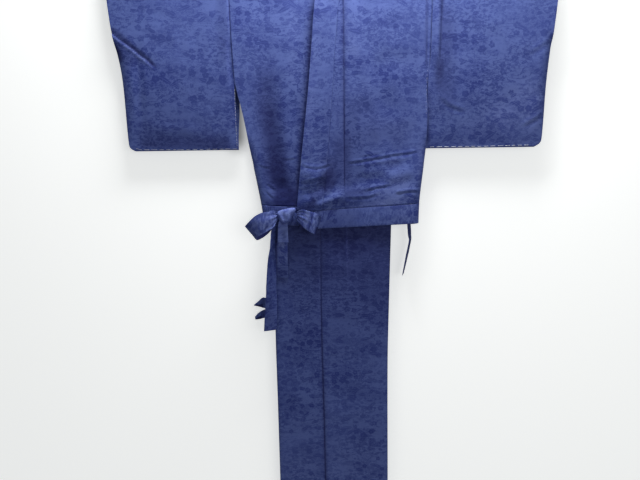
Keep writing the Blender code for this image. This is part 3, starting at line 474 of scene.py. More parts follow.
# Painted shading of the left front: soft hills of painted shade where the rise is positive and of painted
# light where it is negative.
OVER_PAINTED_SHADING = swells(
    (0.05, 0.27, 0.3, (0.022, 0.49), (0.01, 0.6), (-0.002, 0.665)),
    (0.03, 0.45, 0.15, (-0.08, 0.695), (-0.048, 0.682), (-0.015, 0.668)),
    (0.02, 0.34, 0.2, (0.02, 0.692), (0.075, 0.686), (0.13, 0.68)),
    (0.022, -0.55, 0.1, (-0.05, 0.738), (0.1, 0.73), (0.255, 0.716)),
    (0.034, 0.34, 0.2, (-0.03, 0.615), (-0.01, 0.645), (0.012, 0.655)),
    (0.024, 0.62, 0.15, (-0.125, 0.74), (-0.085, 0.726), (-0.05, 0.708)),
    (0.03, 0.34, 0.15, (-0.05, 0.64), (-0.03, 0.655), (0.0, 0.67)),
    (0.066, 0.28, 0.3, (0.08, 0.505), (0.16, 0.5), (0.245, 0.525)),
    (0.034, 0.3, 0.3, (-0.02, 0.56), (-0.02, 0.6), (-0.026, 0.655)),
    (0.02, 0.2, 0.25, (0.04, 0.48), (0.041, 0.58), (0.046, 0.69)),
    (0.022, -0.55, 0.2, (0.264, 0.545), (0.262, 0.6), (0.258, 0.67)),
    (0.018, -0.35, 0.2, (-0.05, 0.716), (-0.02, 0.706), (0.02, 0.69)),
    (0.03, 0.26, 0.3, (0.15, 0.605), (0.175, 0.6), (0.21, 0.59)),
    (0.11, 0.26, 0.25, (0.06, 0.34), (0.06, 0.48), (0.03, 0.62), (0.01, 0.74)),
    (0.034, -0.24, 0.15, (-0.05, 0.06), (-0.066, 0.3), (-0.086, 0.56)),
    (0.045, -0.22, 0.3, (0.04, 0.16), (0.055, 0.26), (0.07, 0.34)),
    (0.062, -0.46, 0.2, (0.11, 0.735), (0.17, 0.69), (0.24, 0.655)),
    (0.006, 0.5, 0.1, (0.2715, 0.03), (0.2725, 0.2), (0.2745, 0.33)),
)
# Painted shading of the right front, mostly painted shade in its long hollow.
UNDER_PAINTED_SHADING = swells(
    (0.062, 0.8, 0.35, (-0.2, 0.24), (-0.198, 0.42), (-0.188, 0.5), (-0.174, 0.58), (-0.16, 0.66),
     (-0.14, 0.75), (-0.11, 0.95)),
    (0.085, 0.3, 0.4, (-0.215, 0.56), (-0.195, 0.64), (-0.16, 0.7)),
    (0.05, 0.5, 0.15, (-0.215, 0.745), (-0.16, 0.715), (-0.11, 0.695)),
    (0.035, -0.18, 0.2, (-0.11, 0.1), (-0.115, 0.24), (-0.12, 0.4)),
    (0.022, -0.2, 0.2, (-0.245, 0.5), (-0.232, 0.62), (-0.222, 0.7)),
)
# Painted shading of the sleeves; on the right sleeve painted shade lies on one side of the cuff's fold and
# painted light on the other.
SLEEVE_PAINTED_SHADING = {
    RIGHT: folds(
        (0.0078, 1.0, 0.16, *CUFF_FOLD),
    ) + swells(
        (0.07, 0.26, 0.1, (-0.6, 0.505), (-0.45, 0.5), (-0.3, 0.515)),
        (0.034, 0.36, 0.1, (-0.6, 0.532), (-0.45, 0.53), (-0.3, 0.535)),
        (0.03, 0.24, 0.2, (-0.318, 0.06), (-0.32, 0.2), (-0.318, 0.32)),
        (0.028, -0.35, 0.2, (-0.37, 0.49), (-0.335, 0.478), (-0.3, 0.472)),
        (0.0115, 0.62, 0.2, (-0.668, 0.18), (-0.6243, 0.2107), (-0.6033, 0.233), (-0.5778, 0.2551),
         (-0.55, 0.2757), (-0.5266, 0.302), (-0.5128, 0.3164)),
        (0.02, 0.5, 0.25, (-0.64, 0.232), (-0.634, 0.262), (-0.627, 0.3)),
        (0.036, 0.36, 0.3, (-0.665, 0.232), (-0.62, 0.266), (-0.56, 0.31)),
    ),
    LEFT: swells(
        (0.02, 0.5, 0.5, (0.314, 0.25), (0.3125, 0.33), (0.309, 0.41)),
        (0.05, 0.32, 0.2, (0.324, 0.12), (0.328, 0.26), (0.333, 0.36), (0.335, 0.48)),
        (0.016, 0.36, 0.2, (0.281, 0.37), (0.281, 0.45), (0.279, 0.55)),
        (0.04, -0.3, 0.2, (0.583, 0.4), (0.59, 0.46), (0.592, 0.52)),
        (0.085, -0.48, 0.2, (0.48, 0.5), (0.56, 0.42), (0.62, 0.38)),
        (0.06, -0.22, 0.2, (0.36, 0.5), (0.45, 0.48), (0.54, 0.49)),
    ),
}


def painted_marks(sewn: float, tone: float, shine: float = 0.0) -> Pair:
    """The painted marks of a place: a seam's painted shade or broader painted shade, and a painted highlight
    or broader painted light.
    """
    return max(sewn, min(tone, 0.9)), max(shine, -tone)


@dataclass(frozen=True)
class Drape:
    """How the jacket's cloth hangs: its depth on each layer, with the large folds and the small ones.

    Attributes:
        pattern: Where the edges lie.
        lap: How far the left front stands off where it lies over the right one.
        collar_lift: How far the left collar's free edge stands off.
        hollow: How far the right front falls back beside that edge.
        contact: How wide the painted shadow is that the edge lays on the right front.
        flare: How far the left front stands out toward its lower right corner.
        blouse: How far the left front bags out above its hem band.
        trough: How deep the long hollow of the right front is.
        wave: How high the soft unevenness is.
        seam_dip: How far cloth turns in where it is sewn to the next panel.
        seam_soft: How far from the seam that begins.
    """

    pattern: Pattern
    lap: float = 0.0032
    collar_lift: float = 0.0075
    hollow: float = 0.0030
    contact: float = 0.0115
    flare: float = 0.0060
    blouse: float = 0.005
    trough: float = 0.0045
    wave: float = 0.0008
    seam_dip: float = 0.0011
    seam_soft: float = 0.0032

    def hang(self, drop: float) -> float:
        """The depth of cloth that hangs straight from the rod."""
        return between(SADDLE, HANG_DEPTH, ease(SADDLE, HANG_DROP, drop))

    def rounded(self, depth: float, inset: float, closed: float, seam: float = FLAT_SEAM) -> float:
        """The depth near a side where front and back come together.

        Args:
            depth: The depth of the open cloth.
            inset: How far in from the side the place lies.
            closed: How far the side is closed there, from 0 to 1.
            seam: The depth at the closed side.

        Returns:
            The depth in metres.
        """
        reach = min(max(inset, 0.0) / SIDE_ROUND, 1.0)
        return depth + (seam - depth) * (1 - math.sqrt(1 - (1 - reach) ** 2)) * closed

    def dipped(self, inset: float) -> float:
        """How far cloth is drawn in, this far from a seam."""
        return self.seam_dip * near(max(inset, 0.0), self.seam_soft)

    def waves(self, across: float, drop: float, seed: float) -> float:
        """The soft unevenness of a hanging panel."""
        small = unevenness(across * 1.4, drop, seed, 0.045)
        return self.wave * (unevenness(across, drop * 0.8, seed + 5, 0.13) * 1.5 + small * 0.7)

    def over(self, across: float, drop: float) -> float:
        """The depth of the left front, its overlap and its collar, which lie over the right ones.

        Args:
            across: The place across.
            drop: The place down.

        Returns:
            The depth in metres.
        """
        under_edge = self.pattern.collar_free_right.at(drop)
        free_edge = self.pattern.collar_free_left.at(drop)
        lap = self.lap * ease(SADDLE, 0.045, drop) * (1 - ease(under_edge + 0.01, under_edge + 0.06, across))
        lift = self.collar_lift * (1 - ease(free_edge - 0.01, free_edge + 0.075, across))
        lift *= ease(0.06, 0.16, drop) * (1 - ease(0.62, 0.71, drop))
        blouse = self.blouse * bump(drop, 0.700, 0.040) * (0.3 + 0.7 * bump(across, 0.030, 0.090))
        folds = lifted(OVER_CREASES, across, drop) + self.waves(across, drop, 1.3) * free(drop)
        folds *= 1 - ease(0.715, FRONT_DROP, drop)
        folds += self.flare * ease(0.54, 0.70, drop) * ease(0.06, 0.20, across)
        return self.rounded(
            self.hang(drop) + lap + lift + blouse + folds, LEFT.seam.at(drop) - across, self.closed(drop)
        )

    def under(self, across: float, drop: float) -> float:
        """The depth of the right front, its overlap and its collar.

        Args:
            across: The place across.
            drop: The place down.

        Returns:
            The depth in metres.
        """
        trough = self.trough * bump(across, -0.185, 0.050)
        trough *= ease(0.30, 0.50, drop) * (1 - ease(0.66, 0.72, drop))
        shown = 1 - ease(-0.10, -0.06, across)
        folds = lifted(UNDER_CREASES, across, drop) + self.waves(across, drop, 6.2) * free(drop)
        folds *= shown * (1 - ease(0.715, FRONT_DROP, drop))
        beside = self.hollow * bump(across, self.pattern.collar_free_left.at(drop) + 0.01, 0.045)
        beside *= ease(0.10, 0.22, drop) * (1 - ease(0.66, 0.71, drop))
        return self.rounded(
            self.hang(drop) - trough - beside + folds, across + RIGHT.seam.at(drop), self.closed(drop)
        )

    def closed(self, drop: float) -> float:
        """How far the body's side is closed at a drop, from 0 to 1."""
        return ease(SIDE_OPEN_DROP, SIDE_SEAM_DROP, drop)

    def front(self, side: Side, across: float, drop: float) -> float:
        """The depth of a side's front."""
        return self.over(across, drop) if side is LEFT else self.under(across, drop)

    def tone(self, side: Side, across: float, drop: float) -> float:
        """How much shade is painted on a front where it falls back or lies under an edge, or light.

        Args:
            side: The front that it is on.
            across: The place across.
            drop: The place down.

        Returns:
            The painted shade share, or the painted light share where it is negative.
        """
        if side is LEFT:
            return lifted(OVER_PAINTED_SHADING, across, drop)
        # Painted shadow of the left collar's free edge on the right front, as a dark band beside it.
        beside = max(self.pattern.collar_free_left.at(drop) - across, 0.0) / self.contact
        return lifted(UNDER_PAINTED_SHADING, across, drop) + 0.8 * math.exp(-(beside**1.5)) * ease(0.03, 0.20, drop)

    def overlap_shade(self, drop: float) -> float:
        """How deep the painted shade of the left overlap's seam is at a drop, for its strength elsewhere."""
        return 1 + 0.5 * ease(0.32, 0.50, drop) - 1.1 * ease(0.62, 0.70, drop)


Value = Union["Wire", int, float]


def math_node(operation: str, swapped: bool = False) -> Callable[..., Wire]:
    """A method of Wire that adds a Math node.

    Args:
        operation: What the node does with the wire and the method's arguments.
        swapped: Whether the wire comes last.

    Returns:
        The method.
    """

    def method(self: Wire, *others: Value) -> Wire:
        """The result of the node."""
        values = (*others, self) if swapped else (self, *others)
        return self.bench.add("ShaderNodeMath", {"operation": operation}, dict(enumerate(values)))

    return method


class Wire:
    """A number on its way through a material's nodes, which Python's operators work on."""

    __add__, __radd__ = math_node("ADD"), math_node("ADD", True)
    __sub__, __rsub__ = math_node("SUBTRACT"), math_node("SUBTRACT", True)
    __mul__, __rmul__ = math_node("MULTIPLY"), math_node("MULTIPLY", True)
    __truediv__, __abs__ = math_node("DIVIDE"), math_node("ABSOLUTE")
    root, sine, cosine = math_node("SQRT"), math_node("SINE"), math_node("COSINE")
    part_after_whole = math_node("FRACT")
    largest = math_node("MAXIMUM")
    angle_from = math_node("ARCTAN2")

    def __init__(self, bench: Bench, socket: bpy.types.NodeSocket) -> None:
        """Keeps a socket and the bench that its node stands on."""
        self.bench = bench
        self.socket = socket

    def squared(self) -> Wire:
        """The number times itself."""
        return self * self

    def step(self, low: float, high: float) -> Wire:
        """A smooth step of this number, 0 at low and 1 at high. Where low is the larger it falls.

        Args:
            low: Where the result is 0.
            high: Where it is 1.

        Returns:
            The step.
        """
        ends = (low, high, 0.0, 1.0) if high > low else (high, low, 1.0, 0.0)
        inputs = {"Value": self, **dict(zip(("From Min", "From Max", "To Min", "To Max"), ends))}
        return self.bench.add("ShaderNodeMapRange", {"interpolation_type": "SMOOTHSTEP"}, inputs)


class Bench:
    """A material and the nodes that are laid out in it."""

    def __init__(self, name: str, **shader: Union[float, tuple]) -> None:
        """Makes the material.

        Args:
            name: The material's name.
            shader: Constant values for the shader's own sockets, with underscores for spaces.
        """
        self.material = bpy.data.materials.new(name)
        self.material.use_nodes = True
        self.tree = self.material.node_tree
        self.shader = self.tree.nodes["Principled BSDF"]
        for socket, value in shader.items():
            self.shader.inputs[socket.replace("_", " ").title().replace("Ior", "IOR")].default_value = value

    def node(self, kind: str, settings: dict, inputs: dict) -> bpy.types.Node:
        """Adds a node.

        Args:
            kind: The node's type.
            settings: Its properties, set before its sockets.
            inputs: A value, a socket or a wire for each socket, by name or number.

        Returns:
            The node.
        """
        node = self.tree.nodes.new(kind)
        for name, value in settings.items():
            setattr(node, name, value)
        for name, value in inputs.items():
            if isinstance(value, Wire):
                value = value.socket
            if isinstance(value, bpy.types.NodeSocket):
                self.tree.links.new(value, node.inputs[name])
            else:
                node.inputs[name].default_value = value
        return node

    def add(self, kind: str, settings: dict, inputs: dict, output: Union[str, int] = 0) -> Wire:
        """Adds a node and gives one of its outputs."""
        return Wire(self, self.node(kind, settings, inputs).outputs[output])

    def split(self, vector: Wire) -> Tuple[Wire, Wire, Wire]:
        """The three parts of a vector or colour."""
        return tuple(Wire(self, part) for part in self.node("ShaderNodeSeparateXYZ", {}, {0: vector}).outputs)

    def joined(self, x: Value, y: Value, z: Value = 0.0) -> Wire:
        """A vector of three parts."""
        return self.add("ShaderNodeCombineXYZ", {}, {0: x, 1: y, 2: z})

    def clouds(self, place: Wire, scale: float, detail: float = 2.0, rough: float = 0.5) -> Wire:
        """Soft noise from 0 to 1 at a place, of a scale in waves to the metre, with finer layers in it."""
        inputs = {"Vector": place, "Scale": scale, "Detail": detail, "Roughness": rough}
        return self.add("ShaderNodeTexNoise", {"noise_dimensions": "3D"}, inputs)

    def mixed(
        self, share: Value, first: Union[Wire, tuple], second: Union[Wire, tuple], blend: str = "MIX"
    ) -> Wire:
        """A colour between two, the second, or its blend with the first, where the share is 1."""
        settings = {"data_type": "RGBA", "clamp_factor": True, "blend_type": blend}
        return self.add("ShaderNodeMix", settings, {0: share, 6: first, 7: second}, 2)

    def bumped(self, height: Wire, distance: float, strength: float = 1.0) -> None:
        """Gives the shader a relief from a height between 0 and 1, this far from low to high."""
        inputs = {"Height": height, "Distance": distance, "Strength": strength}
        self.feed("Normal", self.add("ShaderNodeBump", {}, inputs))

    def feed(self, name: str, wire: Wire) -> None:
        """Leads a wire to one of the shader's sockets."""
        self.tree.links.new(wire.socket, self.shader.inputs[name])


class Motif(NamedTuple):
    """A motif of the woven figure.

    Attributes:
        pitch: How far apart its places are.
        size: Its radius, or half of its length.
        share: How many of the places bear one.
        plump: A leaf's width for its length.
    """

    pitch: float
    size: float
    share: float
    plump: float = 0.42


@dataclass(frozen=True)
class Damask:
    """Blue-violet satin with a crowded tone-on-tone figure of blossoms, leaves, streams and drifts of mist.

    Attributes:
        name: The material's name.
        ground: The colour of the bright ground weave.
        figure: The colour of the duller figure weave.
        painted_light_tint: What the colour is multiplied by where light is painted: painted highlights and
            broad painted light.
        shaded: What it is multiplied by where shade is painted: in seams, hollows, folds and cast shadows.
        blossom: The large blossoms.
        bud: The small ones.
        leaf: The leaves.
        blade: The long blades.
        thread: The pitch of the weave.
    """

    name: str = "blue_violet_damask"
    ground: Colour = (0.090, 0.132, 0.385, 1.0)
    figure: Colour = (0.024, 0.042, 0.225, 1.0)
    painted_light_tint: Colour = (1.74, 1.58, 1.34, 1.0)
    shaded: Colour = (0.116, 0.120, 0.300, 1.0)
    blossom: Motif = Motif(0.029, 0.0118, 0.66)
    bud: Motif = Motif(0.017, 0.0048, 0.42)
    leaf: Motif = Motif(0.024, 0.0128, 0.80)
    blade: Motif = Motif(0.043, 0.0230, 0.60, 0.26)
    thread: float = 0.0006

    def material(self) -> bpy.types.Material:
        """The material, which reads a UV map in metres of cloth.

        Returns:
            The material.
        """
        bench = Bench(
            self.name, specular_ior_level=0.30, sheen_weight=0.06, sheen_roughness=0.4,
            sheen_tint=(0.55, 0.62, 1.0, 1.0),
        )
        cloth = bench.add("ShaderNodeUVMap", {"uv_map": "cloth"}, {})
        x, y, _ = bench.split(cloth)
        wander = bench.clouds(cloth, 60.0, 2.0) - 0.5
        x, y = x + wander * 0.003, y + wander * 0.002
        figure, lines = self._motifs(bench, x, y, wander)
        mottle = bench.clouds(bench.joined(x * 90.0, y * 130.0, 2.0), 1.0, 3.0, 0.6)
        crowded = mottle.step(0.46, 0.56) * bench.clouds(cloth, 11.0, 1.0).step(0.40, 0.60)
        speckle = bench.clouds(bench.joined(x * 260.0, y * 340.0, 5.0), 1.0, 2.0, 0.6) - 0.5
        figure = figure.largest(crowded * 0.6) * (1 - lines * 0.8) + (mottle - 0.5) * 1.4 + speckle * 1.5
        tone = bench.mixed(figure, self.ground, self.figure)
        large = bench.clouds(cloth, 5.0, 2.0)
        faded = tuple(1.15 * part for part in self.ground[:3]) + (1.0,)
        tone = bench.mixed(large.step(0.35, 0.75) * 0.35, tone, faded)
        # Painted light and painted shade, read from each vertex, multiply the colour.
        for mark, colour in (("painted_light", self.painted_light_tint), ("painted_shade", self.shaded)):
            share = bench.add("ShaderNodeAttribute", {"attribute_name": mark}, {}, "Fac")
            tone = bench.mixed(share, tone, colour, "MULTIPLY")
        bench.feed("Base Color", tone)
        bench.feed("Roughness", 0.57 + figure * 0.12 + (large - 0.5) * 0.06)
        bench.bumped(self._weave(bench, x, y, figure) + figure * 0.5, 0.00016, 0.7)
        return bench.material

    def _motifs(self, bench: Bench, x: Wire, y: Wire, wander: Wire) -> Tuple[Wire, Wire]:
        """Everything drawn in the figure weave.

        Args:
            bench: Where the nodes go.
            x: The place across the cloth.
            y: The place along it.
            wander: A soft random number that bends long lines.

        Returns:
            How much figure weave there is, and the fine ground lines in it.
        """
        patch = bench.clouds(bench.joined(x * 6.5 + y * 4.0, y * 15.0, 7.0), 1.0, 3.0, 0.6).step(0.49, 0.56)
        blossoms, veins = self._blossoms(bench, x + 0.37, y + 0.11, self.blossom)
        buds, eyes = self._blossoms(bench, x + 0.71, y - 0.53, self.bud)
        leaves, ribs = self._leaves(bench, x - 0.23, y + 0.47, self.leaf)
        blades, grooves = self._leaves(bench, x + 0.59, y + 0.83, self.blade)
        solid = (blossoms * 0.78).largest(leaves * 0.78).largest(blades * 0.7).largest(buds * 0.6)
        figure = (solid + patch * 0.45).largest(self._streams(bench, x, y, wander) * 0.7)
        return figure, (veins * 0.4).largest(ribs * 0.8).largest(eyes * 0.2).largest(grooves)

    def _blossoms(self, bench: Bench, x: Wire, y: Wire, motif: Motif) -> Tuple[Wire, Wire]:
        """Round five-petalled blossoms in loose clusters.

        Args:
            bench: Where the nodes go.
            x: The place across the cloth.
            y: The place along it.
            motif: What is drawn.

        Returns:
            The blossoms, and the thin light lines in them.
        """
        place = bench.joined(x, y * 1.1)
        dx, dy, turn, size, chosen = self._scattered(bench, place, motif, 0.85, (9.0, 0.42, 0.50))
        away = (dx.squared() + dy.squared()).root()
        petals = (dy.angle_from(dx) * 5.0 + turn * math.tau).cosine()
        reach = (0.74 + size * 0.42) * motif.size
        inside = (reach * (petals * 0.09 + 0.88) - away).step(-0.0010, 0.0022)
        eye = (reach * 0.22 - away).step(-0.0002, 0.0006)
        gaps = petals.step(-0.86, -0.97) * (away - reach * 0.3).step(0.0, 0.0008)
        return inside * chosen, eye.largest(gaps * 0.7) * chosen

    def _leaves(self, bench: Bench, x: Wire, y: Wire, motif: Motif) -> Tuple[Wire, Wire]:
        """Pointed leaves, each at its own slant, in drifts of their own.

        Args:
            bench: Where the nodes go.
            x: The place across the cloth.
            y: The place along it.
            motif: What is drawn.

        Returns:
            The leaves, and the thin light lines in them.
        """
        place = bench.joined(x, y)
        dx, dy, turn, size, chosen = self._scattered(bench, place, motif, 0.95, (7.0, 0.40, 0.50))
        slant = (turn - 0.5) * 1.3
        cosine, sine = slant.cosine(), slant.sine()
        along = dx * cosine + dy * sine
        aside = dy * cosine - dx * sine + along.squared() * (9.0 * (size - 0.5))
        half = (0.65 + size * 0.5) * motif.size
        shape = 1 - (along / half).squared()
        inside = (shape * (half * motif.plump) - abs(aside)).step(-0.0008, 0.0018)
        rib = abs(aside).step(0.0007, 0.0002) * inside
        return inside * chosen, rib * chosen

    def _scattered(
        self, bench: Bench, place: Wire, motif: Motif, loose: float, drift: Triple
    ) -> Tuple[Wire, Wire, Wire, Wire, Wire]:
        """Scattered places of a motif.

        Args:
            bench: Where the nodes go.
            place: The place on the cloth.
            motif: What is scattered.
            loose: How far the places stray from even rows.
            drift: The scale of the drifts that bear it, and where in their noise they begin and are full.

        Returns:
            The two parts of the way from the nearest one, two random numbers, and whether it is borne.
        """
        settings = {"voronoi_dimensions": "2D", "feature": "F1"}
        inputs = {"Vector": place, "Scale": 1 / motif.pitch, "Randomness": loose}
        node = bench.node("ShaderNodeTexVoronoi", settings, inputs)
        centre = Wire(bench, node.outputs["Position"])
        apart = bench.add("ShaderNodeVectorMath", {"operation": "SUBTRACT"}, {0: place, 1: centre})
        draw, turn, size = bench.split(Wire(bench, node.outputs["Color"]))
        chosen = draw.step(motif.share + 0.01, motif.share - 0.01)
        chosen = chosen * bench.clouds(centre, drift[0], 1.0).step(*drift[1:])
        return (*bench.split(apart)[:2], turn, size, chosen)

    def _streams(self, bench: Bench, x: Wire, y: Wire, wander: Wire) -> Wire:
        """Thin flowing lines like water and grass, in patches.

        Args:
            bench: Where the nodes go.
            x: The place across the cloth.
            y: The place along it.
            wander: A soft random number that bends the lines.

        Returns:
            How much of a line there is.
        """
        flow = bench.clouds(bench.joined(x * 8.0 + wander * 0.4, y * 19.0, 4.0), 1.0, 1.0)
        line = abs((flow * 12.0).part_after_whole() - 0.5).step(0.16, 0.05)
        return line * bench.clouds(bench.joined(x * 9.0, y * 13.0, 9.0), 1.0, 1.0).step(0.46, 0.52)

    def _weave(self, bench: Bench, x: Wire, y: Wire, figure: Wire) -> Wire:
        """The threads of the satin, which run the other way in the figure.

        Args:
            bench: Where the nodes go.
            x: The place across the cloth.
            y: The place along it.
            figure: How much figure weave there is.

        Returns:
            Their height, from 0 to 1.
        """
        warp = (x * (math.tau / self.thread)).sine()
        weft = ((y + x * 0.2) * (math.tau / (self.thread * 1.7))).sine()
        slubs = bench.clouds(bench.joined(x * 240.0, y * 1200.0), 1.0, 1.0)
        return warp * 0.12 * figure + weft * 0.12 * (1 - figure) + slubs * 0.5


@dataclass(frozen=True)
class PlainFinish:
    """A finish that is read from object coordinates: the hanger's wood and wire and the loose thread.

    Attributes:
        name: The material's name.
        light: Its lighter colour.
        dark: Its darker colour.
        roughness: How matt it is.
        metallic: 1 for metal.
        grain: The scale of its marks along X, Y and Z, in waves to the metre.
        relief: How deep the marks are, in metres.
    """

    name: str
    light: Colour
    dark: Colour
    roughness: float
    metallic: float
    grain: Triple
    relief: float

    def material(self) -> bpy.types.Material:
        """Builds the material.

        Returns:
            The material.
        """
        bench = Bench(self.name, metallic=self.metallic)
        place = bench.add("ShaderNodeTexCoord", {}, {}, "Object")
        stretched = bench.add("ShaderNodeVectorMath", {"operation": "MULTIPLY"}, {0: place, 1: self.grain})
        marks = bench.clouds(stretched, 1.0, 5.0, 0.6)
        streak = (marks * 7.0).sine() * 0.5 + 0.5
        dark = (marks * 0.6 + streak * 0.4).step(0.25, 0.8)
        bench.feed("Base Color", bench.mixed(dark, self.light, self.dark))
        bench.feed("Roughness", self.roughness + (marks - 0.5) * 0.2)
        bench.bumped(streak, self.relief, 0.5)
        return bench.material


DAMASK = Damask()
WOOD = PlainFinish("varnished_wood", (0.62, 0.43, 0.24, 1.0), (0.36, 0.21, 0.10, 1.0), 0.42, 0.0,
                   (6.0, 160.0, 160.0), 0.0002)
STEEL = PlainFinish("plated_wire", (0.68, 0.68, 0.66, 1.0), (0.50, 0.50, 0.49, 1.0), 0.24, 1.0,
                    (500.0, 500.0, 500.0), 0.00003)
THREAD = PlainFinish("basting_thread", (0.76, 0.80, 0.90, 1.0), (0.60, 0.64, 0.74, 1.0), 0.7, 0.0,
                     (900.0, 900.0, 900.0), 0.0001)


def meshed(name: str, build: bmesh.types.BMesh, finish: bpy.types.Material) -> bpy.types.Object:
    """An object of what was built, with smooth shading and a finish.

    Args:
        name: The object's name.
        build: Its shape.
        finish: Its material.

    Returns:
        The object.
    """
    mesh = bpy.data.meshes.new(name)
    build.to_mesh(mesh)
    build.free()
    mesh.shade_smooth()
    mesh.materials.append(finish)
    return bpy.data.objects.new(name, mesh)


def of_cloth(
    name: str, build: bmesh.types.BMesh, lay: Callable[[bmesh.types.BMVert], Pair], marks: Sequence[Pair]
) -> bpy.types.Object:
    """An object of the garment's cloth.

    Args:
        name: The piece's name.
        build: Its shape.
        lay: Where a vertex lies on the flat cloth, in metres.
        marks: The painted shade and the painted light of each vertex, if any.

    Returns:
        The object.
    """
    cloth = build.loops.layers.uv.new("cloth")
    for face in build.faces:
        for corner in face.loops:
            corner[cloth].uv = lay(corner.vert)
    bmesh.ops.recalc_face_normals(build, faces=build.faces)
    obj = meshed(name, build, ROOM.finish(DAMASK))
    # Stores the painted shade and painted light that the material multiplies into the colour.
    for mark, values in zip(("painted_shade", "painted_light"), zip(*marks)):
        obj.data.attributes.new(mark, "FLOAT", "POINT").data.foreach_set("value", values)
    return obj


class Workroom:
    """Where pieces are finished and hung: it keeps the materials and reports each piece."""

    def __init__(self) -> None:
        """Starts with no material made."""
        self._made: Dict[str, bpy.types.Material] = {}

    def finish(self, finish: Union[Damask, PlainFinish]) -> bpy.types.Material:
        """The material of a finish, built once."""
        if finish.name not in self._made:
            self._made[finish.name] = finish.material()
        return self._made[finish.name]

    def dress_node(self, node: str, finish: PlainFinish) -> None:
        """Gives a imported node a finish, and leaves its shape alone.

        Args:
            node: The node's name.
            finish: The finish.
        """
        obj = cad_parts[node]
        obj.data.materials.clear()
        obj.data.materials.append(self.finish(finish))
        LOG.info("finished %s with %s", node, finish.name)

    def hang(self, obj: bpy.types.Object, node: str = "") -> None:
        """Links a piece to the scene, on the garment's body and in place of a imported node, if any.

        Args:
            obj: The piece.
            node: The node that it stands for, if any.
        """
        bpy.context.scene.collection.objects.link(obj)
        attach(obj, "root")
        if node:
            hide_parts(node)
        LOG.info("made %s with %d faces", obj.name, len(obj.data.polygons))


ROOM = Workroom()


@dataclass(frozen=True)
class Cut:
    """What a sheet was cut to before it was hung.

    Attributes:
        width: Its width, flat, which is not used.
        length: Its length, flat, which is not used.
        held: How it is held, which is not used.
        rests_on: What it hangs from.
        area: Its flat area where the cut isn't a rectangle, which is not used.
    """

    width: float
    length: float
    held: str = "hung"
    rests_on: Tuple[str, ...] = ("hanger_rod",)
    area: Optional[float] = None


@dataclass
class Sheet:
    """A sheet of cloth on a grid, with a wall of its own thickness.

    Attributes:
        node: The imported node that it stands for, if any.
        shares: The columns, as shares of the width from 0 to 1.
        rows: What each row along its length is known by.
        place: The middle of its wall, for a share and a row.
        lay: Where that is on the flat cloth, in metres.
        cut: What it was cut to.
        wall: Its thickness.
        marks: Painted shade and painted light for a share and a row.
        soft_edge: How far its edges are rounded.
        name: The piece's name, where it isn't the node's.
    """

    node: str
    shares: Sequence[float]
    rows: Sequence[Any]
    place: Placed
    lay: Laid
    cut: Cut
    wall: float = CLOTH
    marks: Optional[Laid] = None
    soft_edge: float = 0.0
    name: str = ""

    def build(self) -> None:
        """Makes the sheet and hangs it."""
        build = bmesh.new()
        columns, steps = len(self.shares) - 1, len(self.rows) - 1
        bmesh.ops.create_grid(build, x_segments=columns, y_segments=steps, size=1.0)
        build.verts.index_update()
        at = []
        for vertex in build.verts:
            column, row = (round((part + 1) / 2 * count) for part, count in zip(vertex.co, (columns, steps)))
            at.append((self.shares[column], self.rows[row]))
            vertex.co = self.place(*at[-1])
        marks = [self.marks(*here) for here in at] if self.marks else []
        name = self.name or f"{self.node}_cloth"
        obj = of_cloth(name, build, lambda vertex: self.lay(*at[vertex.index]), marks)
        solidify = obj.modifiers.new("wall", "SOLIDIFY")
        solidify.thickness = self.wall
        solidify.offset = 0.0
        if self.soft_edge:
            bevel = obj.modifiers.new("soft edge", "BEVEL")
            bevel.width = self.soft_edge
            bevel.segments = 3
            bevel.limit_method = "ANGLE"
            bevel.angle_limit = math.radians(55)
        ROOM.hang(obj, self.node)
        cut = self.cut
        list(cut.rests_on)


def seamed_shares(
    width: float, step: float, insets: Sequence[float] = (0.0008, 0.002, 0.0036)
) -> List[float]:
    """Columns of a panel, close together at both edges where cloth turns into its seams.

    Args:
        width: The panel's width.
        step: How far apart the columns of its middle are.
        insets: The columns next to each edge.

    Returns:
        Their shares of the width.
    """
    near = [inset / width for inset in insets]
    middle = spaced(near[-1] + step / width, 1 - near[-1] - step / width, step / width)
    return [0.0, *near, *middle, *(1 - share for share in reversed(near)), 1.0]


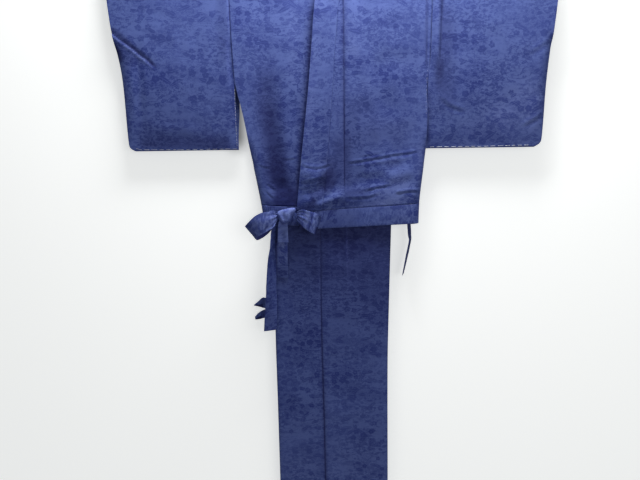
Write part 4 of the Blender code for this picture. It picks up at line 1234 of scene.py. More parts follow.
@dataclass(frozen=True)
class JacketBody:
    """Both halves of the jacket's body, the overlaps and the collar.

    Attributes:
        pattern: Where the edges lie.
        drape: How the cloth hangs.
        fine: The grid's pitch where the photo shows the cloth.
        coarse: The pitch along the back.
        tuck: How far the left side of the back is drawn in below the armhole.
        back_right: The right side of the back below the armhole, which shows in the opening there.
        collar_proud: How far the collar stands before the fronts.
        neck_over: How much wider the collar's seam is on the rod than the neck, to lie over its edge.
        width: The width of the collar.
    """

    pattern: Pattern
    drape: Drape
    fine: float = 0.0042
    coarse: float = 0.0120
    tuck: float = 0.009
    back_right: Line = Line(
        (0.354, 0.2915), (0.371, 0.2835), (0.39, 0.279), (0.42, 0.277), (0.455, 0.2725), (0.5, 0.26),
        (0.545, 0.25), (0.6, 0.245),
    )
    collar_proud: float = 0.0006
    neck_over: float = 1.020
    width: float = 0.075

    def build(self) -> None:
        """Makes every panel."""
        for side in (LEFT, RIGHT):
            self._half(side)
            self._overlap(side)
        self._collar()

    def _half(self, side: Side) -> None:
        """One length of cloth from the back hem over the shoulder to the front's band.

        Args:
            side: Which half of the body it is.
        """
        back, front = spaced(BEHIND_ROD, BACK_DROP, self.coarse), spaced(BEFORE_ROD, FRONT_DROP, self.fine)
        pattern, drape = self.pattern, self.drape

        def edges(row: Row) -> Pair:
            """Where a row starts and ends across."""
            outer = side.seam.at(row.drop)
            if row.side >= 0:
                return pattern.front_inner(side, row.drop), side.sign * outer
            if side is RIGHT and self.back_right.places[0] < row.drop < self.back_right.places[-1]:
                outer = self.back_right.at(row.drop)
            else:
                tucked = ease(ARMHOLE_DROP, 0.40, row.drop) * (1 - ease(0.56, SIDE_SEAM_DROP, row.drop))
                outer -= self.tuck * tucked
            return side.sign * pattern.back_neck.at(row.drop), side.sign * outer

        def place(share: float, row: Row) -> Vector:
            """The middle of the wall."""
            inner, outer = edges(row)
            across = between(inner, outer, share)
            if abs(row.side) < 1:
                return hung(across, row.side * SADDLE, row.drop)
            dip = drape.dipped(abs(across - inner))
            if row.side > 0:
                dip = dip * sewn_at(row.drop) + drape.dipped(abs(outer - across)) * 0.5
                drop = pattern.settled(side, row.drop, across)
                return hung(across, drape.front(side, across, row.drop) - dip, drop)
            depth = drape.hang(row.drop) + drape.waves(across, row.drop, side.seed + 20) * free(row.drop)
            depth = drape.rounded(depth, abs(outer - across), drape.closed(row.drop))
            return hung(across, dip * 0.6 - depth, row.drop)

        def lay(share: float, row: Row) -> Pair:
            """The place on the flat cloth."""
            return between(*edges(row), share), -row.side * row.drop

        def marks(share: float, row: Row) -> Pair:
            """The seams' painted shade, the painted shading and a painted highlight along the side edges."""
            inner, outer = edges(row)
            from_inner, from_outer = abs(outer - inner) * share, abs(outer - inner) * (1 - share)
            clear, opened = sewn_at(row.drop), ease(0.32, 0.38, row.drop)
            # Painted shade along the seams and the side edges.
            at_side, sewn = near(from_outer, SEAM_SHADE) * clear, near(from_inner, SEAM_SHADE) * clear
            if row.side > 0 and side is LEFT:
                sewn = 0.32 * sewn + 0.36 * near(from_inner, 0.0068) * clear
                sewn *= drape.overlap_shade(row.drop)
            sewn = max(sewn, at_side * (1 - (0.85 if side is LEFT else 1.0) * opened))
            if row.side < 1:
                # Painted shade on the right back beside the opening below the armhole.
                within = near(from_outer, 0.026) * bump(row.drop, 0.42, 0.09)
                return max(sewn, 0.55 * within if side is RIGHT else 0.0), 0.0
            if side is LEFT:
                sewn *= 1 - 0.7 * (1 - opened) * at_side
            # Painted highlight along the front's side edge.
            shine = 0.5 * at_side * (opened if side is RIGHT else 1 - 0.4 * opened)
            return painted_marks(sewn, drape.tone(side, between(inner, outer, share), row.drop), shine)

        cut = Cut(0.290, FRONT_DROP + BACK_DROP + 0.032, area=0.385)
        shares = seamed_shares(0.26, 0.0045)
        Sheet(f"body_{side.name}", shares, rows_over_rod(back, front), place, lay, cut, marks=marks).build()

    def _overlap(self, side: Side) -> None:
        """The narrow panel between a front and its collar, which ends in a point below the neck.

        Args:
            side: Which front it belongs to.
        """
        pattern, drape = self.pattern, self.drape
        seam = pattern.collar_seam(side)
        drops = spaced(pattern.overlap_top, FRONT_DROP, self.fine if side is LEFT else self.coarse)

        def across_of(share: float, drop: float) -> float:
            """The place across."""
            return between(pattern.front_inner(side, drop), seam.at(drop) + side.sign * GAP / 2, share)

        def insets(share: float, drop: float) -> Pair:
            """How far from the front's seam and from the collar's the place lies."""
            across = across_of(share, drop)
            return abs(across - across_of(0.0, drop)), abs(across - across_of(1.0, drop))

        def place(share: float, drop: float) -> Vector:
            """The middle of the wall."""
            across = across_of(share, drop)
            from_front, from_collar = insets(share, drop)
            dip = drape.dipped(from_front) + drape.dipped(from_collar) * 0.15
            dip *= ease(pattern.overlap_top, pattern.overlap_top + 0.04, drop)
            return hung(across, drape.front(side, across, drop) - dip, pattern.settled(side, drop, across))

        def lay(share: float, drop: float) -> Pair:
            """The place on the flat cloth."""
            return across_of(share, drop) + 0.06 * drop + 0.41, -drop + 0.83

        def marks(share: float, drop: float) -> Pair:
            """The seams' painted shade and the painted shading."""
            from_front, from_collar = insets(share, drop)
            # Painted shade beside the seam with the front, and faintly beside the collar's.
            sewn = 0.32 * near(from_front, 0.0024) + 0.36 * near(from_front, 0.0072)
            sewn = sewn * drape.overlap_shade(drop) + 0.15 * near(from_collar, 0.0010)
            return painted_marks(sewn, drape.tone(side, across_of(share, drop), drop))

        cut = Cut(0.074, (FRONT_DROP - pattern.overlap_top) * 1.01, area=0.0290)
        Sheet(f"okumi_{side.name}", seamed_shares(0.05, 0.0042), drops, place, lay, cut, marks=marks).build()

    def _collar_front(self, side: Side, drop: float, share: float) -> Vector:
        """A point of the collar below the rod, from its seam at 0 to its free edge at 1.

        Args:
            side: Which front it lies on.
            drop: The place down.
            share: The place from the seam to the free edge.

        Returns:
            The middle of the wall there.
        """
        pattern = self.pattern
        seam = pattern.collar_seam(side)
        edge = pattern.collar_free_left if side is LEFT else pattern.collar_free_right
        at_seam = seam.at(drop) - side.sign * GAP * (ease(0.06, 0.10, drop) - 0.5)
        across = between(at_seam, edge.at(drop), share)
        swell = 0.0009 * math.sin(math.pi * share) ** 0.5 if 0 < share < 1 else 0.0
        dip = self.drape.dipped(abs(across - at_seam)) * 0.15 * sewn_at(drop)
        depth = self.drape.front(side, across, drop) + self.collar_proud
        depth += (swell - dip) * ease(0.04, 0.12, drop)
        return hung(across, depth, pattern.settled(side, drop, across))

    def _collar(self) -> None:
        """One strip from the right front's band, round the neck, to the left front's band."""
        neck = Route([NeckRow(*row) for row in NECK_ROWS])
        stations = [(RIGHT, drop) for drop in reversed(spaced(BEFORE_ROD, FRONT_DROP, self.coarse))]
        stations += [(-1, step) for step in parts(40)]
        stations += [(1, step) for step in reversed(parts(40)[:-1])]
        stations += [(LEFT, drop) for drop in spaced(BEFORE_ROD, FRONT_DROP, self.fine)]

        def place(share: float, row: tuple) -> Vector:
            """The middle of the wall, at a front's drop or a step round a half of the neck."""
            where, value = row[:2]
            if isinstance(where, Side):
                return self._collar_front(where, value, share)
            here = neck.at(value)
            seam = hung(where * here.seam_across * self.neck_over, here.seam_depth, here.seam_drop)
            return seam.lerp(hung(where * here.free_across, here.free_depth, -here.free_rise), share)

        rows, length = [], 0.0
        for before, here in zip(stations[:1] + stations, stations):
            length += (place(0.5, here) - place(0.5, before)).length
            rows.append((*here, length))

        def lay(share: float, row: tuple) -> Pair:
            """The place on the flat strip."""
            return self.width * share + 1.31, -row[2]

        def marks(share: float, row: tuple) -> Pair:
            """The seam's painted shade, the painted shading and a painted highlight along the folded edge."""
            sewn = 0.2 * near(share * self.width, 0.0010)
            fold = 0.25 * near((1 - share) * self.width, EDGE_SHINE)
            if row[0] is not LEFT:
                return sewn, fold
            return painted_marks(sewn, self.drape.tone(LEFT, place(share, row).x, row[1]), fold)

        shares = seamed_shares(self.width, 0.0042, (0.0006, 0.0014, 0.003))
        Sheet("collar", shares, rows, place, lay, Cut(0.078, length), BAND, marks, BAND_EDGE).build()


class NeckRow(NamedTuple):
    """A row of the collar round the back of the neck, on the wearer's left half."""

    seam_across: float
    seam_depth: float
    seam_drop: float
    free_across: float
    free_depth: float
    free_rise: float


NECK_ROWS = (
    (0.0809, 0.01065, 0.0097, 0.03, 0.014, -0.01), (0.0852, 0.0092, 0.0041, 0.0345, 0.0125, -0.004),
    (0.0882, 0.0053, 0.0004, 0.039, 0.008, 0.004), (0.0892, 0.0, -0.0009, 0.0425, 0.001, 0.009),
    (0.0882, -0.0053, 0.0004, 0.044, -0.006, 0.013), (0.0842, -0.0092, 0.0041, 0.0435, -0.0115, 0.017),
    (0.0772, -0.01065, 0.0097, 0.04, -0.015, 0.02), (0.0512, -0.0112, 0.0177, 0.03, -0.017, 0.024),
    (0.0242, -0.0119, 0.0232, 0.016, -0.0178, 0.0265), (0.0, -0.0123, 0.0257, 0.0, -0.018, 0.027),
)


@dataclass(frozen=True)
class Sleeve:
    """A sleeve: one length over the rod, joined along its bottom and below the cuff's opening.

    Attributes:
        side: Which sleeve it is.
        drape: How the cloth hangs.
        fine: The grid's pitch in front.
        coarse: The pitch along the back.
        cuff_open: The drop down to which the cuff is open.
        cuff_sewn: The drop from which it is sewn together.
        taper_from: Where front and back begin to close toward the bottom.
        taper_power: How late they close.
        strip_rise: How far the folded strip beside the left armhole stands out.
        back_in: How much further in the right sleeve's back reaches below the armhole.
    """

    side: Side
    drape: Drape
    fine: float = 0.0042
    coarse: float = 0.0120
    cuff_open: float = 0.220
    cuff_sewn: float = 0.270
    taper_from: float = 0.300
    taper_power: float = 1.9
    strip_rise: float = 0.0036
    back_in: float = 0.0105

    def edges(self, drop: float, back: bool = False) -> Pair:
        """Where the sleeve's inner and outer edges lie at a drop, measured outward.

        Args:
            drop: The place down.
            back: Whether it is on the back.

        Returns:
            The inner edge and the outer one.
        """
        side = self.side
        seam_end = side.seam.at(ARMHOLE_DROP)
        below = max(drop - ARMHOLE_DROP, 0.0) / (side.sleeve_bottom - ARMHOLE_DROP)
        inner = side.seam.at(min(drop, ARMHOLE_DROP)) + (side.sleeve_inner_end - seam_end + GAP) * below
        if back and side is RIGHT:
            inner -= self.back_in * ease(ARMHOLE_DROP, 0.385, drop) * (1 - 0.85 * ease(0.40, 0.54, drop))
        return inner, side.cuff.at(drop)

    def strip_edge(self, drop: float) -> float:
        """Where the folded strip beside the left armhole ends."""
        return 0.3120 - 0.0045 * ease(0.20, 0.34, drop)

    def depth(self, front: bool, across: float, drop: float) -> float:
        """How far the front or the back stands from the rod's middle plane.

        Args:
            front: Whether it is the front.
            across: The place along X.
            drop: The place down.

        Returns:
            The depth in metres.
        """
        side, drape = self.side, self.drape
        inner, outer = self.edges(drop)
        taper = max(drop - self.taper_from, 0.0) / (side.sleeve_bottom - self.taper_from)
        depth = FLAT_SEAM + (drape.hang(drop) - FLAT_SEAM) * (1 - taper**self.taper_power)
        loose = free(drop) * ease(0.0, 0.02, side.sleeve_bottom - drop)
        depth += drape.waves(across, drop, side.seed + (0.0 if front else 11.0)) * loose
        if front:
            depth += lifted(SLEEVE_CREASES[side], across, drop) * loose
        if front and side is LEFT:
            edge = self.strip_edge(drop)
            strip = 1 - ease(edge - 0.0012, edge + 0.0012, across)
            depth += self.strip_rise * strip * (1 - ease(0.24, 0.34, drop)) * ease(0.0, 0.06, drop)
        closed = ease(self.cuff_open, self.cuff_sewn, drop)
        dip = drape.dipped(abs(across) - inner) * ease(0.04, 0.1, drop) * (1 - ease(0.32, 0.36, drop))
        return drape.rounded(depth, outer - abs(across), closed) - dip

    def build(self) -> None:
        """Makes the sleeve."""
        side = self.side
        back = spaced(BEHIND_ROD, side.sleeve_bottom, self.coarse)
        front = spaced(BEFORE_ROD, side.sleeve_bottom, self.fine)

        def across_of(share: float, row: Row) -> float:
            """The place across."""
            return side.sign * between(*self.edges(row.drop, row.side < 0), share)

        def place(share: float, row: Row) -> Vector:
            """The middle of the wall."""
            across = across_of(share, row)
            depth = self.depth(row.side > 0, across, row.drop) if abs(row.side) == 1 else SADDLE
            return hung(across, row.side * depth, row.drop)

        def lay(share: float, row: Row) -> Pair:
            """The place on the flat cloth."""
            return across_of(share, row) + side.sign * 0.5, -row.side * row.drop + 0.29

        def marks(share: float, row: Row) -> Pair:
            """The armhole's painted shade, the painted shading and, on the left, a painted dark line beyond
            the folded strip and painted light on it.
            """
            inner, outer = self.edges(row.drop)
            beside = (outer - inner) * share
            sewn = near(beside, SEAM_SHADE) * sewn_at(row.drop) * (1 - ease(0.32, 0.35, row.drop))
            if row.side < 1:
                return sewn, 0.0
            tone = lifted(SLEEVE_PAINTED_SHADING[side], across_of(share, row), row.drop)
            if side is RIGHT:
                return painted_marks(sewn, tone)
            # Painted shade in a line beyond the folded strip, and painted light on the strip.
            beyond = inner + beside - self.strip_edge(row.drop) - 0.0032
            line = 0.72 * near(beyond, 0.0052) * (1 - ease(0.27, 0.36, row.drop))
            strip = 0.30 * bump(inner + beside, 0.303, 0.010) * (1 - ease(0.24, 0.33, row.drop))
            return painted_marks(max(0.35 * sewn, line), tone - strip, 0.35 * sewn)

        cut = Cut(0.385, 2 * side.sleeve_bottom + 0.012, area=0.395)
        rows, shares = rows_over_rod(back, front), seamed_shares(0.35, 0.0046)
        Sheet(f"sleeve_{side.name}", shares, rows, place, lay, cut, marks=marks).build()


@dataclass(frozen=True)
class HemBands:
    """The double bands sewn along the jacket's lower edges.

    Attributes:
        pattern: Where the edges lie.
        drape: How the cloth hangs.
        left_from: Where the left front's band starts.
        back_low: The drop of the back band's lower edge.
        wrap: How far the back band's end wraps forward at the right side.
        slot: The open slot between that end and the right front's band.
        fine: The grid's pitch.
        height: How high the bands are.
    """

    pattern: Pattern
    drape: Drape
    left_from: float = -0.110
    back_low: float = 0.785
    wrap: float = 0.018
    slot: float = 0.0008
    fine: float = 0.004
    height: float = 0.060

    def build(self) -> None:
        """Makes the three bands."""
        self._left()
        self._right()
        self._back()

    def _level(self, edges: Tuple[Line, Line], across: float, down: float) -> float:
        """The drop at a share of a band's height below its top edge."""
        top, low = (edge.at(across) for edge in edges)
        return between(top, low, down)

    def _puffed(self, down: float, along: float, seed: float) -> float:
        """How far a band's folded cloth swells between its edges, with slight ripples along it."""
        swell = 0.0011 * math.sin(math.pi * down) ** 0.6 if 0 < down < 1 else 0.0
        return swell + 0.0005 * unevenness(along, down * 0.06, seed, 0.022) * math.sin(math.pi * down)

    def _band(
        self, node: str, place: Callable[[float, float], Vector], length: float, seed: float,
        shaded: float = 0.0, deeper: float = 0.0,
    ) -> None:
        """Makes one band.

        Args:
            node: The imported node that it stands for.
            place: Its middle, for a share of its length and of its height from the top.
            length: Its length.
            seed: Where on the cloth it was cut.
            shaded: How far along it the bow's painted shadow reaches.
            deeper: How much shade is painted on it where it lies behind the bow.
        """

        def lay(share: float, down: float) -> Pair:
            """The place on the flat cloth."""
            return self.height * down + seed, length * share + seed

        def marks(share: float, down: float) -> Pair:
            """The seam's painted shade, the bow's painted shadow, painted light farther along and a painted
            highlight on the folded edge.
            """
            along, below = share * length, down * self.height
            shade, paler = max(deeper, 0.4 * near(below, SEAM_SHADE)), 0.0
            if shaded:
                shade = max(shade, 0.85 * (1 - ease(0.6, 1.2, along / shaded)))
                shade = max(shade, 0.26 * (1 - ease(0.15, 0.20, along)))
                # Painted light on the band beyond the bow.
                paler = 0.42 * ease(0.22, 0.36, along) + 0.25 * bump(along, 0.060, 0.035)
            return shade, max(paler, 0.3 * near(self.height - below, EDGE_SHINE))

        cut = Cut(0.122, length, "folded", ("body_left", "body_right"), self.height * length * 1.2)
        shares, rows = spaced(0.0, 1.0, self.fine / length), parts(round(self.height / self.fine))
        Sheet(node, shares, rows, place, lay, cut, BAND, marks, BAND_EDGE).build()

    def _left(self) -> None:
        """The band along the left front's lower edge, round to the left side."""
        edges = (self.pattern.band_top_left, self.pattern.band_low_left)

        def place(share: float, down: float) -> Vector:
            """The middle of the wall."""
            side_edge = LEFT.seam.at(self._level(edges, 0.259, down))
            across = between(self.left_from, side_edge, share)
            drop = self._level(edges, across, down)
            puff = self._puffed(down, across, 2.0) * ease(0.0, 0.012, side_edge - across)
            return hung(across, self.drape.over(across, max(drop, 0.740)) + puff, drop)

        self._band("band_left", place, LEFT.seam.at(0.76) - self.left_from, 2.13, 0.032)

    def _right(self) -> None:
        """The band along the right front's lower edge, from the wrapped end to the collar's edge."""
        edges = (self.pattern.band_top_right, self.pattern.band_low_right)
        stop = self.pattern.collar_free_right.values[-1]

        def place(share: float, down: float) -> Vector:
            """The middle of the wall."""
            start = self.wrap + self.slot - RIGHT.seam.at(self._level(edges, -0.225, down))
            across = between(start, stop, share)
            puff = self._puffed(down, across, 4.0) * (1 - ease(-0.13, -0.10, across))
            return hung(across, HANG_DEPTH + puff, self._level(edges, across, down))

        self._band("band_right", place, stop + 0.205, 2.71, 0.0, 0.45)

    def _back(self) -> None:
        """The band along the back hem. At the right side it wraps forward to the front's band."""
        turn = math.pi * self.wrap / 2
        top = BACK_DROP + GAP
        front_top = self.pattern.band_top_right.at(-0.215)

        def place(share: float, down: float) -> Vector:
            """The middle of the wall."""
            drop = between(top, self.back_low, down)
            left_edge, right_edge = LEFT.seam.at(drop), -RIGHT.seam.at(drop)
            straight = left_edge - right_edge - self.wrap
            along = share * (straight + 2 * turn)
            if along <= straight:
                depth = self.drape.rounded(HANG_DEPTH, along, 1.0, BAND_SEAM)
                depth += self._puffed(down, along, 9.0) * ease(0.0, 0.02, along)
                return hung(left_edge - along, -depth, drop)
            drop += (front_top - top) * ease(0.0, turn, along - straight) * (1 - down)
            angle = math.pi / 2 - math.pi * (along - straight) / (2 * turn)
            across = right_edge + self.wrap * (1 - math.cos(angle))
            return hung(across, -HANG_DEPTH * math.sin(angle), drop)

        self._band("band_back", place, 0.50, 3.37)


class Station(NamedTuple):
    """A place along a tie. Turn is the angle in degrees that its width makes with the front."""

    across: float
    depth: float
    drop: float
    width: float
    turn: float

    def point(self) -> Vector:
        """The middle of the tie there."""
        return hung(self.across, self.depth, self.drop)


class LoopRow(NamedTuple):
    """A row of a bow's loop, from the knot out along its front layer and back along the other."""

    top_across: float
    top_drop: float
    low_across: float
    low_drop: float
    depth: float
    pleat: float

    def point(self) -> Vector:
        """The middle of the loop's cloth there."""
        return hung((self.top_across + self.low_across) / 2, self.depth, (self.top_drop + self.low_drop) / 2)


@dataclass(frozen=True)
class Strip:
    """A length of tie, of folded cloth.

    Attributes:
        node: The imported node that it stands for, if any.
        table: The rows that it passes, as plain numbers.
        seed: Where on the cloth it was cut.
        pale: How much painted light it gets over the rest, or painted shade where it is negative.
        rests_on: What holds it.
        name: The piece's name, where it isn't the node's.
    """

    node: str
    table: Tuple[Tuple[float, ...], ...]
    seed: float
    pale: float = 0.0
    rests_on: Tuple[str, ...] = ("bow_knot_cloth",)
    name: str = ""

    def _sew(
        self, shares: Sequence[float], steps: int, place: Placed, marks: Laid, width: float, length: float
    ) -> None:
        """Makes the strip.

        Args:
            shares: Its columns.
            steps: How many steps it has along its length.
            place: The middle of its wall, for a share of its width and of its length.
            marks: Its shade and shine there.
            width: Its width, flat.
            length: Its length, flat.
        """

        def lay(share: float, along: float) -> Pair:
            """The place on the flat cloth."""
            return width * share + self.seed, length * along + self.seed

        cut = Cut(width, length, "folded", self.rests_on)
        Sheet(self.node, shares, parts(steps), place, lay, cut, STRAP, marks, STRAP_EDGE, self.name).build()


@dataclass(frozen=True)
class Tie(Strip):
    """A flat tie that passes stations.

    Attributes:
        level: Whether it runs across the garment, with its width upright.
        hemmed: Whether its far end is hemmed, which shows as a painted highlight along the hem, with its
            painted light running to the end.
        crown: How far its middle swells.
        ripple: How high the waves along it are.
        painted_fade: How much painted shade darkens its far end, and how much weaker the painted highlight on
            its edges is, from 0 to 1.
        painted_crevice_shade: How much shade is painted along its edge at the viewer's left, where another
            tie lies beside it.
    """

    level: bool = False
    hemmed: bool = False
    crown: float = 0.0012
    ripple: float = 0.0008
    painted_fade: float = 0.0
    painted_crevice_shade: float = 0.0

    def build(self) -> None:
        """Makes the tie."""
        stations = [Station(*row) for row in self.table]
        route = Route(stations)
        length = route.length(Station.point)
        width = sum(station.width for station in stations) / len(stations)

        def place(share: float, along: float) -> Vector:
            """The middle of the wall."""
            here = route.at(along)
            offset = here.width * (share - 0.5)
            inset = min(share, 1 - share) * here.width
            swell = self.crown * (1 - (1 - min(inset / 0.006, 1.0)) ** 2)
            swell += self.ripple * unevenness(offset * 1.5, length * along, self.seed, 0.018)
            if self.level:
                return hung(here.across, here.depth + swell, here.drop + offset)
            cosine, sine = math.cos(math.radians(here.turn)), math.sin(math.radians(here.turn))
            across = here.across + offset * cosine - swell * sine
            return hung(across, here.depth - offset * sine + swell * cosine, here.drop)

        def marks(share: float, along: float) -> Pair:
            """Painted shade beside its neighbours, at its far end and in small crumples, and painted
            highlights on its hem and edges with painted light over it.
            """
            left = length * (1 - along)
            # Painted highlight along the hem and the edges.
            hem = bump(left, 0.004, 0.003) if self.hemmed else 0.0
            edge = near(min(share, 1 - share) * width, 0.0015)
            pale = self.pale if self.hemmed else self.pale * ease(0.03, 0.09, left)
            # Painted shade of small crumples, from noise; it also takes away painted light.
            painted_crumple_shade = 0.40 * unevenness(share * width, along * length, self.seed, 0.012)
            painted_fade_shade = 0.55 * self.painted_fade * (1 - ease(0.01, 0.07, left))
            shade = max(self.painted_crevice_shade * near(share * width, 0.0050), -self.pale, painted_fade_shade)
            paler = min(0.9 * hem + 0.25 * edge * (1 - self.painted_fade) + max(pale - painted_crumple_shade, 0.0), 1.0)
            return max(shade, painted_crumple_shade), paler * (1 - shade)

        shares = seamed_shares(max(width, 0.02), 0.0028, (0.0008, 0.0018))
        self._sew(shares, max(round(length / 0.0032), 6), place, marks, width, length)


@dataclass(frozen=True)
class Ribbon(Strip):
    """A length of tie given by its upper and lower edges, pleated where a knot grips it.

    Attributes:
        pleats: How many pleats the knot gathers.
        pleat: How deep they are.
        belly: How far it swells, outward on the front of a loop and inward behind.
        painted_crease_at: Where along it a crease is shown by a band of painted shade, if any.
    """

    pleats: float = 2.0
    pleat: float = 0.0006
    belly: float = 0.0022
    painted_crease_at: float = 0.0

    def build(self) -> None:
        """Makes the ribbon."""
        route = Route([LoopRow(*row) for row in self.table])
        length = route.length(LoopRow.point)
        width = sum(math.dist(row[:2], row[2:4]) for row in self.table) / len(self.table)

        def place(share: float, along: float) -> Vector:
            """The middle of the wall."""
            here = route.at(along)
            across = between(here.top_across, here.low_across, share)
            drop = between(here.top_drop, here.low_drop, share)
            wave = math.tau * self.pleats * (share + 0.05 * math.sin(math.tau * share + self.seed))
            gathers = self.pleat * here.pleat * math.cos(wave)
            gathers += 0.0016 * here.pleat * unevenness(share * 0.05, along * 0.02, self.seed, 0.008)
            belly = self.belly * math.sin(math.tau * along) * (1 - (2 * share - 1) ** 2)
            soft = 0.0014 * unevenness(across, drop, self.seed + along, 0.018)
            return hung(across, here.depth + belly + gathers + soft, drop)

        def marks(share: float, along: float) -> Pair:
            """Painted shade inside the loop, in its pleats, where it turns and in small crumples, and painted
            light on its front and painted highlights on its edges.
            """
            edge = near(min(share, 1 - share) * width, 0.0013)
            # Painted shade inside the loop's back layer, in the gathered pleats and where the loop turns.
            inside = ease(0.55, 0.65, share) * ease(0.52, 0.57, along) * (1 - ease(0.90, 0.98, along))
            gathered = 0.5 * (1 - ease(0.02, 0.14, along)) * (0.5 - 0.5 * math.cos(math.tau * 3.0 * share))
            turned = 0.40 * bump(along, 0.50, 0.07)
            if self.painted_crease_at:
                turned = 0.6 * bump(along, self.painted_crease_at, 0.035)
            shade = max(inside, gathered, turned)
            painted_crumple_shade = 0.55 * unevenness(share * width, along * length, self.seed, 0.011)
            pale = self.pale * (1 - ease(0.50, 0.56, along)) - painted_crumple_shade
            return max(shade, painted_crumple_shade), max(0.3 * edge, pale) * (1 - shade)

        self._sew(parts(34), max(round(length / 0.0034), 12), place, marks, width, length)


@dataclass(frozen=True)
class BowKnot:
    """The bow's knot: a band of tie drawn tight round the rest, wider at its top than at its foot.

    Attributes:
        centre: Its place across, depth and drop.
        half_height: Half of its height.
        half_depth: Half of its depth.
        top_half: Half of its width at the top.
        low_half: Half of its width at the foot.
        lean: How far the top leans toward the viewer's right.
        tilt: How far it is turned.
        boxy: The power that squares its section, 1 for round.
        folds: How deep the gathered folds on its face are.
    """

    centre: Triple = (-0.1482, 0.036, 0.7515)
    half_height: float = 0.0215
    half_depth: float = 0.013
    top_half: float = 0.035
    low_half: float = 0.014
    lean: float = 0.006
    tilt: float = math.radians(11)
    boxy: float = 0.58
    folds: float = 0.0011

    def build(self) -> None:
        """Makes the knot."""
        build = bmesh.new()
        bmesh.ops.create_icosphere(build, subdivisions=5, radius=1.0)
        middle = hung(*self.centre)
        cosine, sine = math.cos(self.tilt), math.sin(self.tilt)
        knot_painted_light = []
        for vertex in build.verts:
            side, forward, up = (signed(part, self.boxy) for part in vertex.co)
            # Painted light over the knot, less of it toward its lower right.
            knot_painted_light.append(painted_marks(0.0, ease(0.1, 1.3, side - 0.9 * up) * 0.80 - 1.0))
            half = between(self.low_half, self.top_half, (up + 1) / 2)
            face = max(-forward, 0.0)
            fold = math.sin((side + 0.35 * up) * 7.0 + 0.9 * up * up) * face**0.5 * (1 - 0.5 * abs(up))
            across = side * half * (1 - 0.10 * (1 - up * up) * face) + self.lean * up
            rise = up * self.half_height * (1 - 0.05 * side * side)
            deep = forward * self.half_depth - self.folds * fold
            deep += 0.0010 * unevenness(side * 0.03, up * 0.02, 5.5, 0.012)
            vertex.co = middle + Vector((across * cosine - rise * sine, deep, across * sine + rise * cosine))

        def lay(vertex: bmesh.types.BMVert) -> Pair:
            """The place on the flat cloth."""
            return vertex.co.x + 0.3 * vertex.co.z + 0.9, vertex.co.z - vertex.co.y

        ROOM.hang(of_cloth("bow_knot_cloth", build, lay, knot_painted_light), "bow_knot")


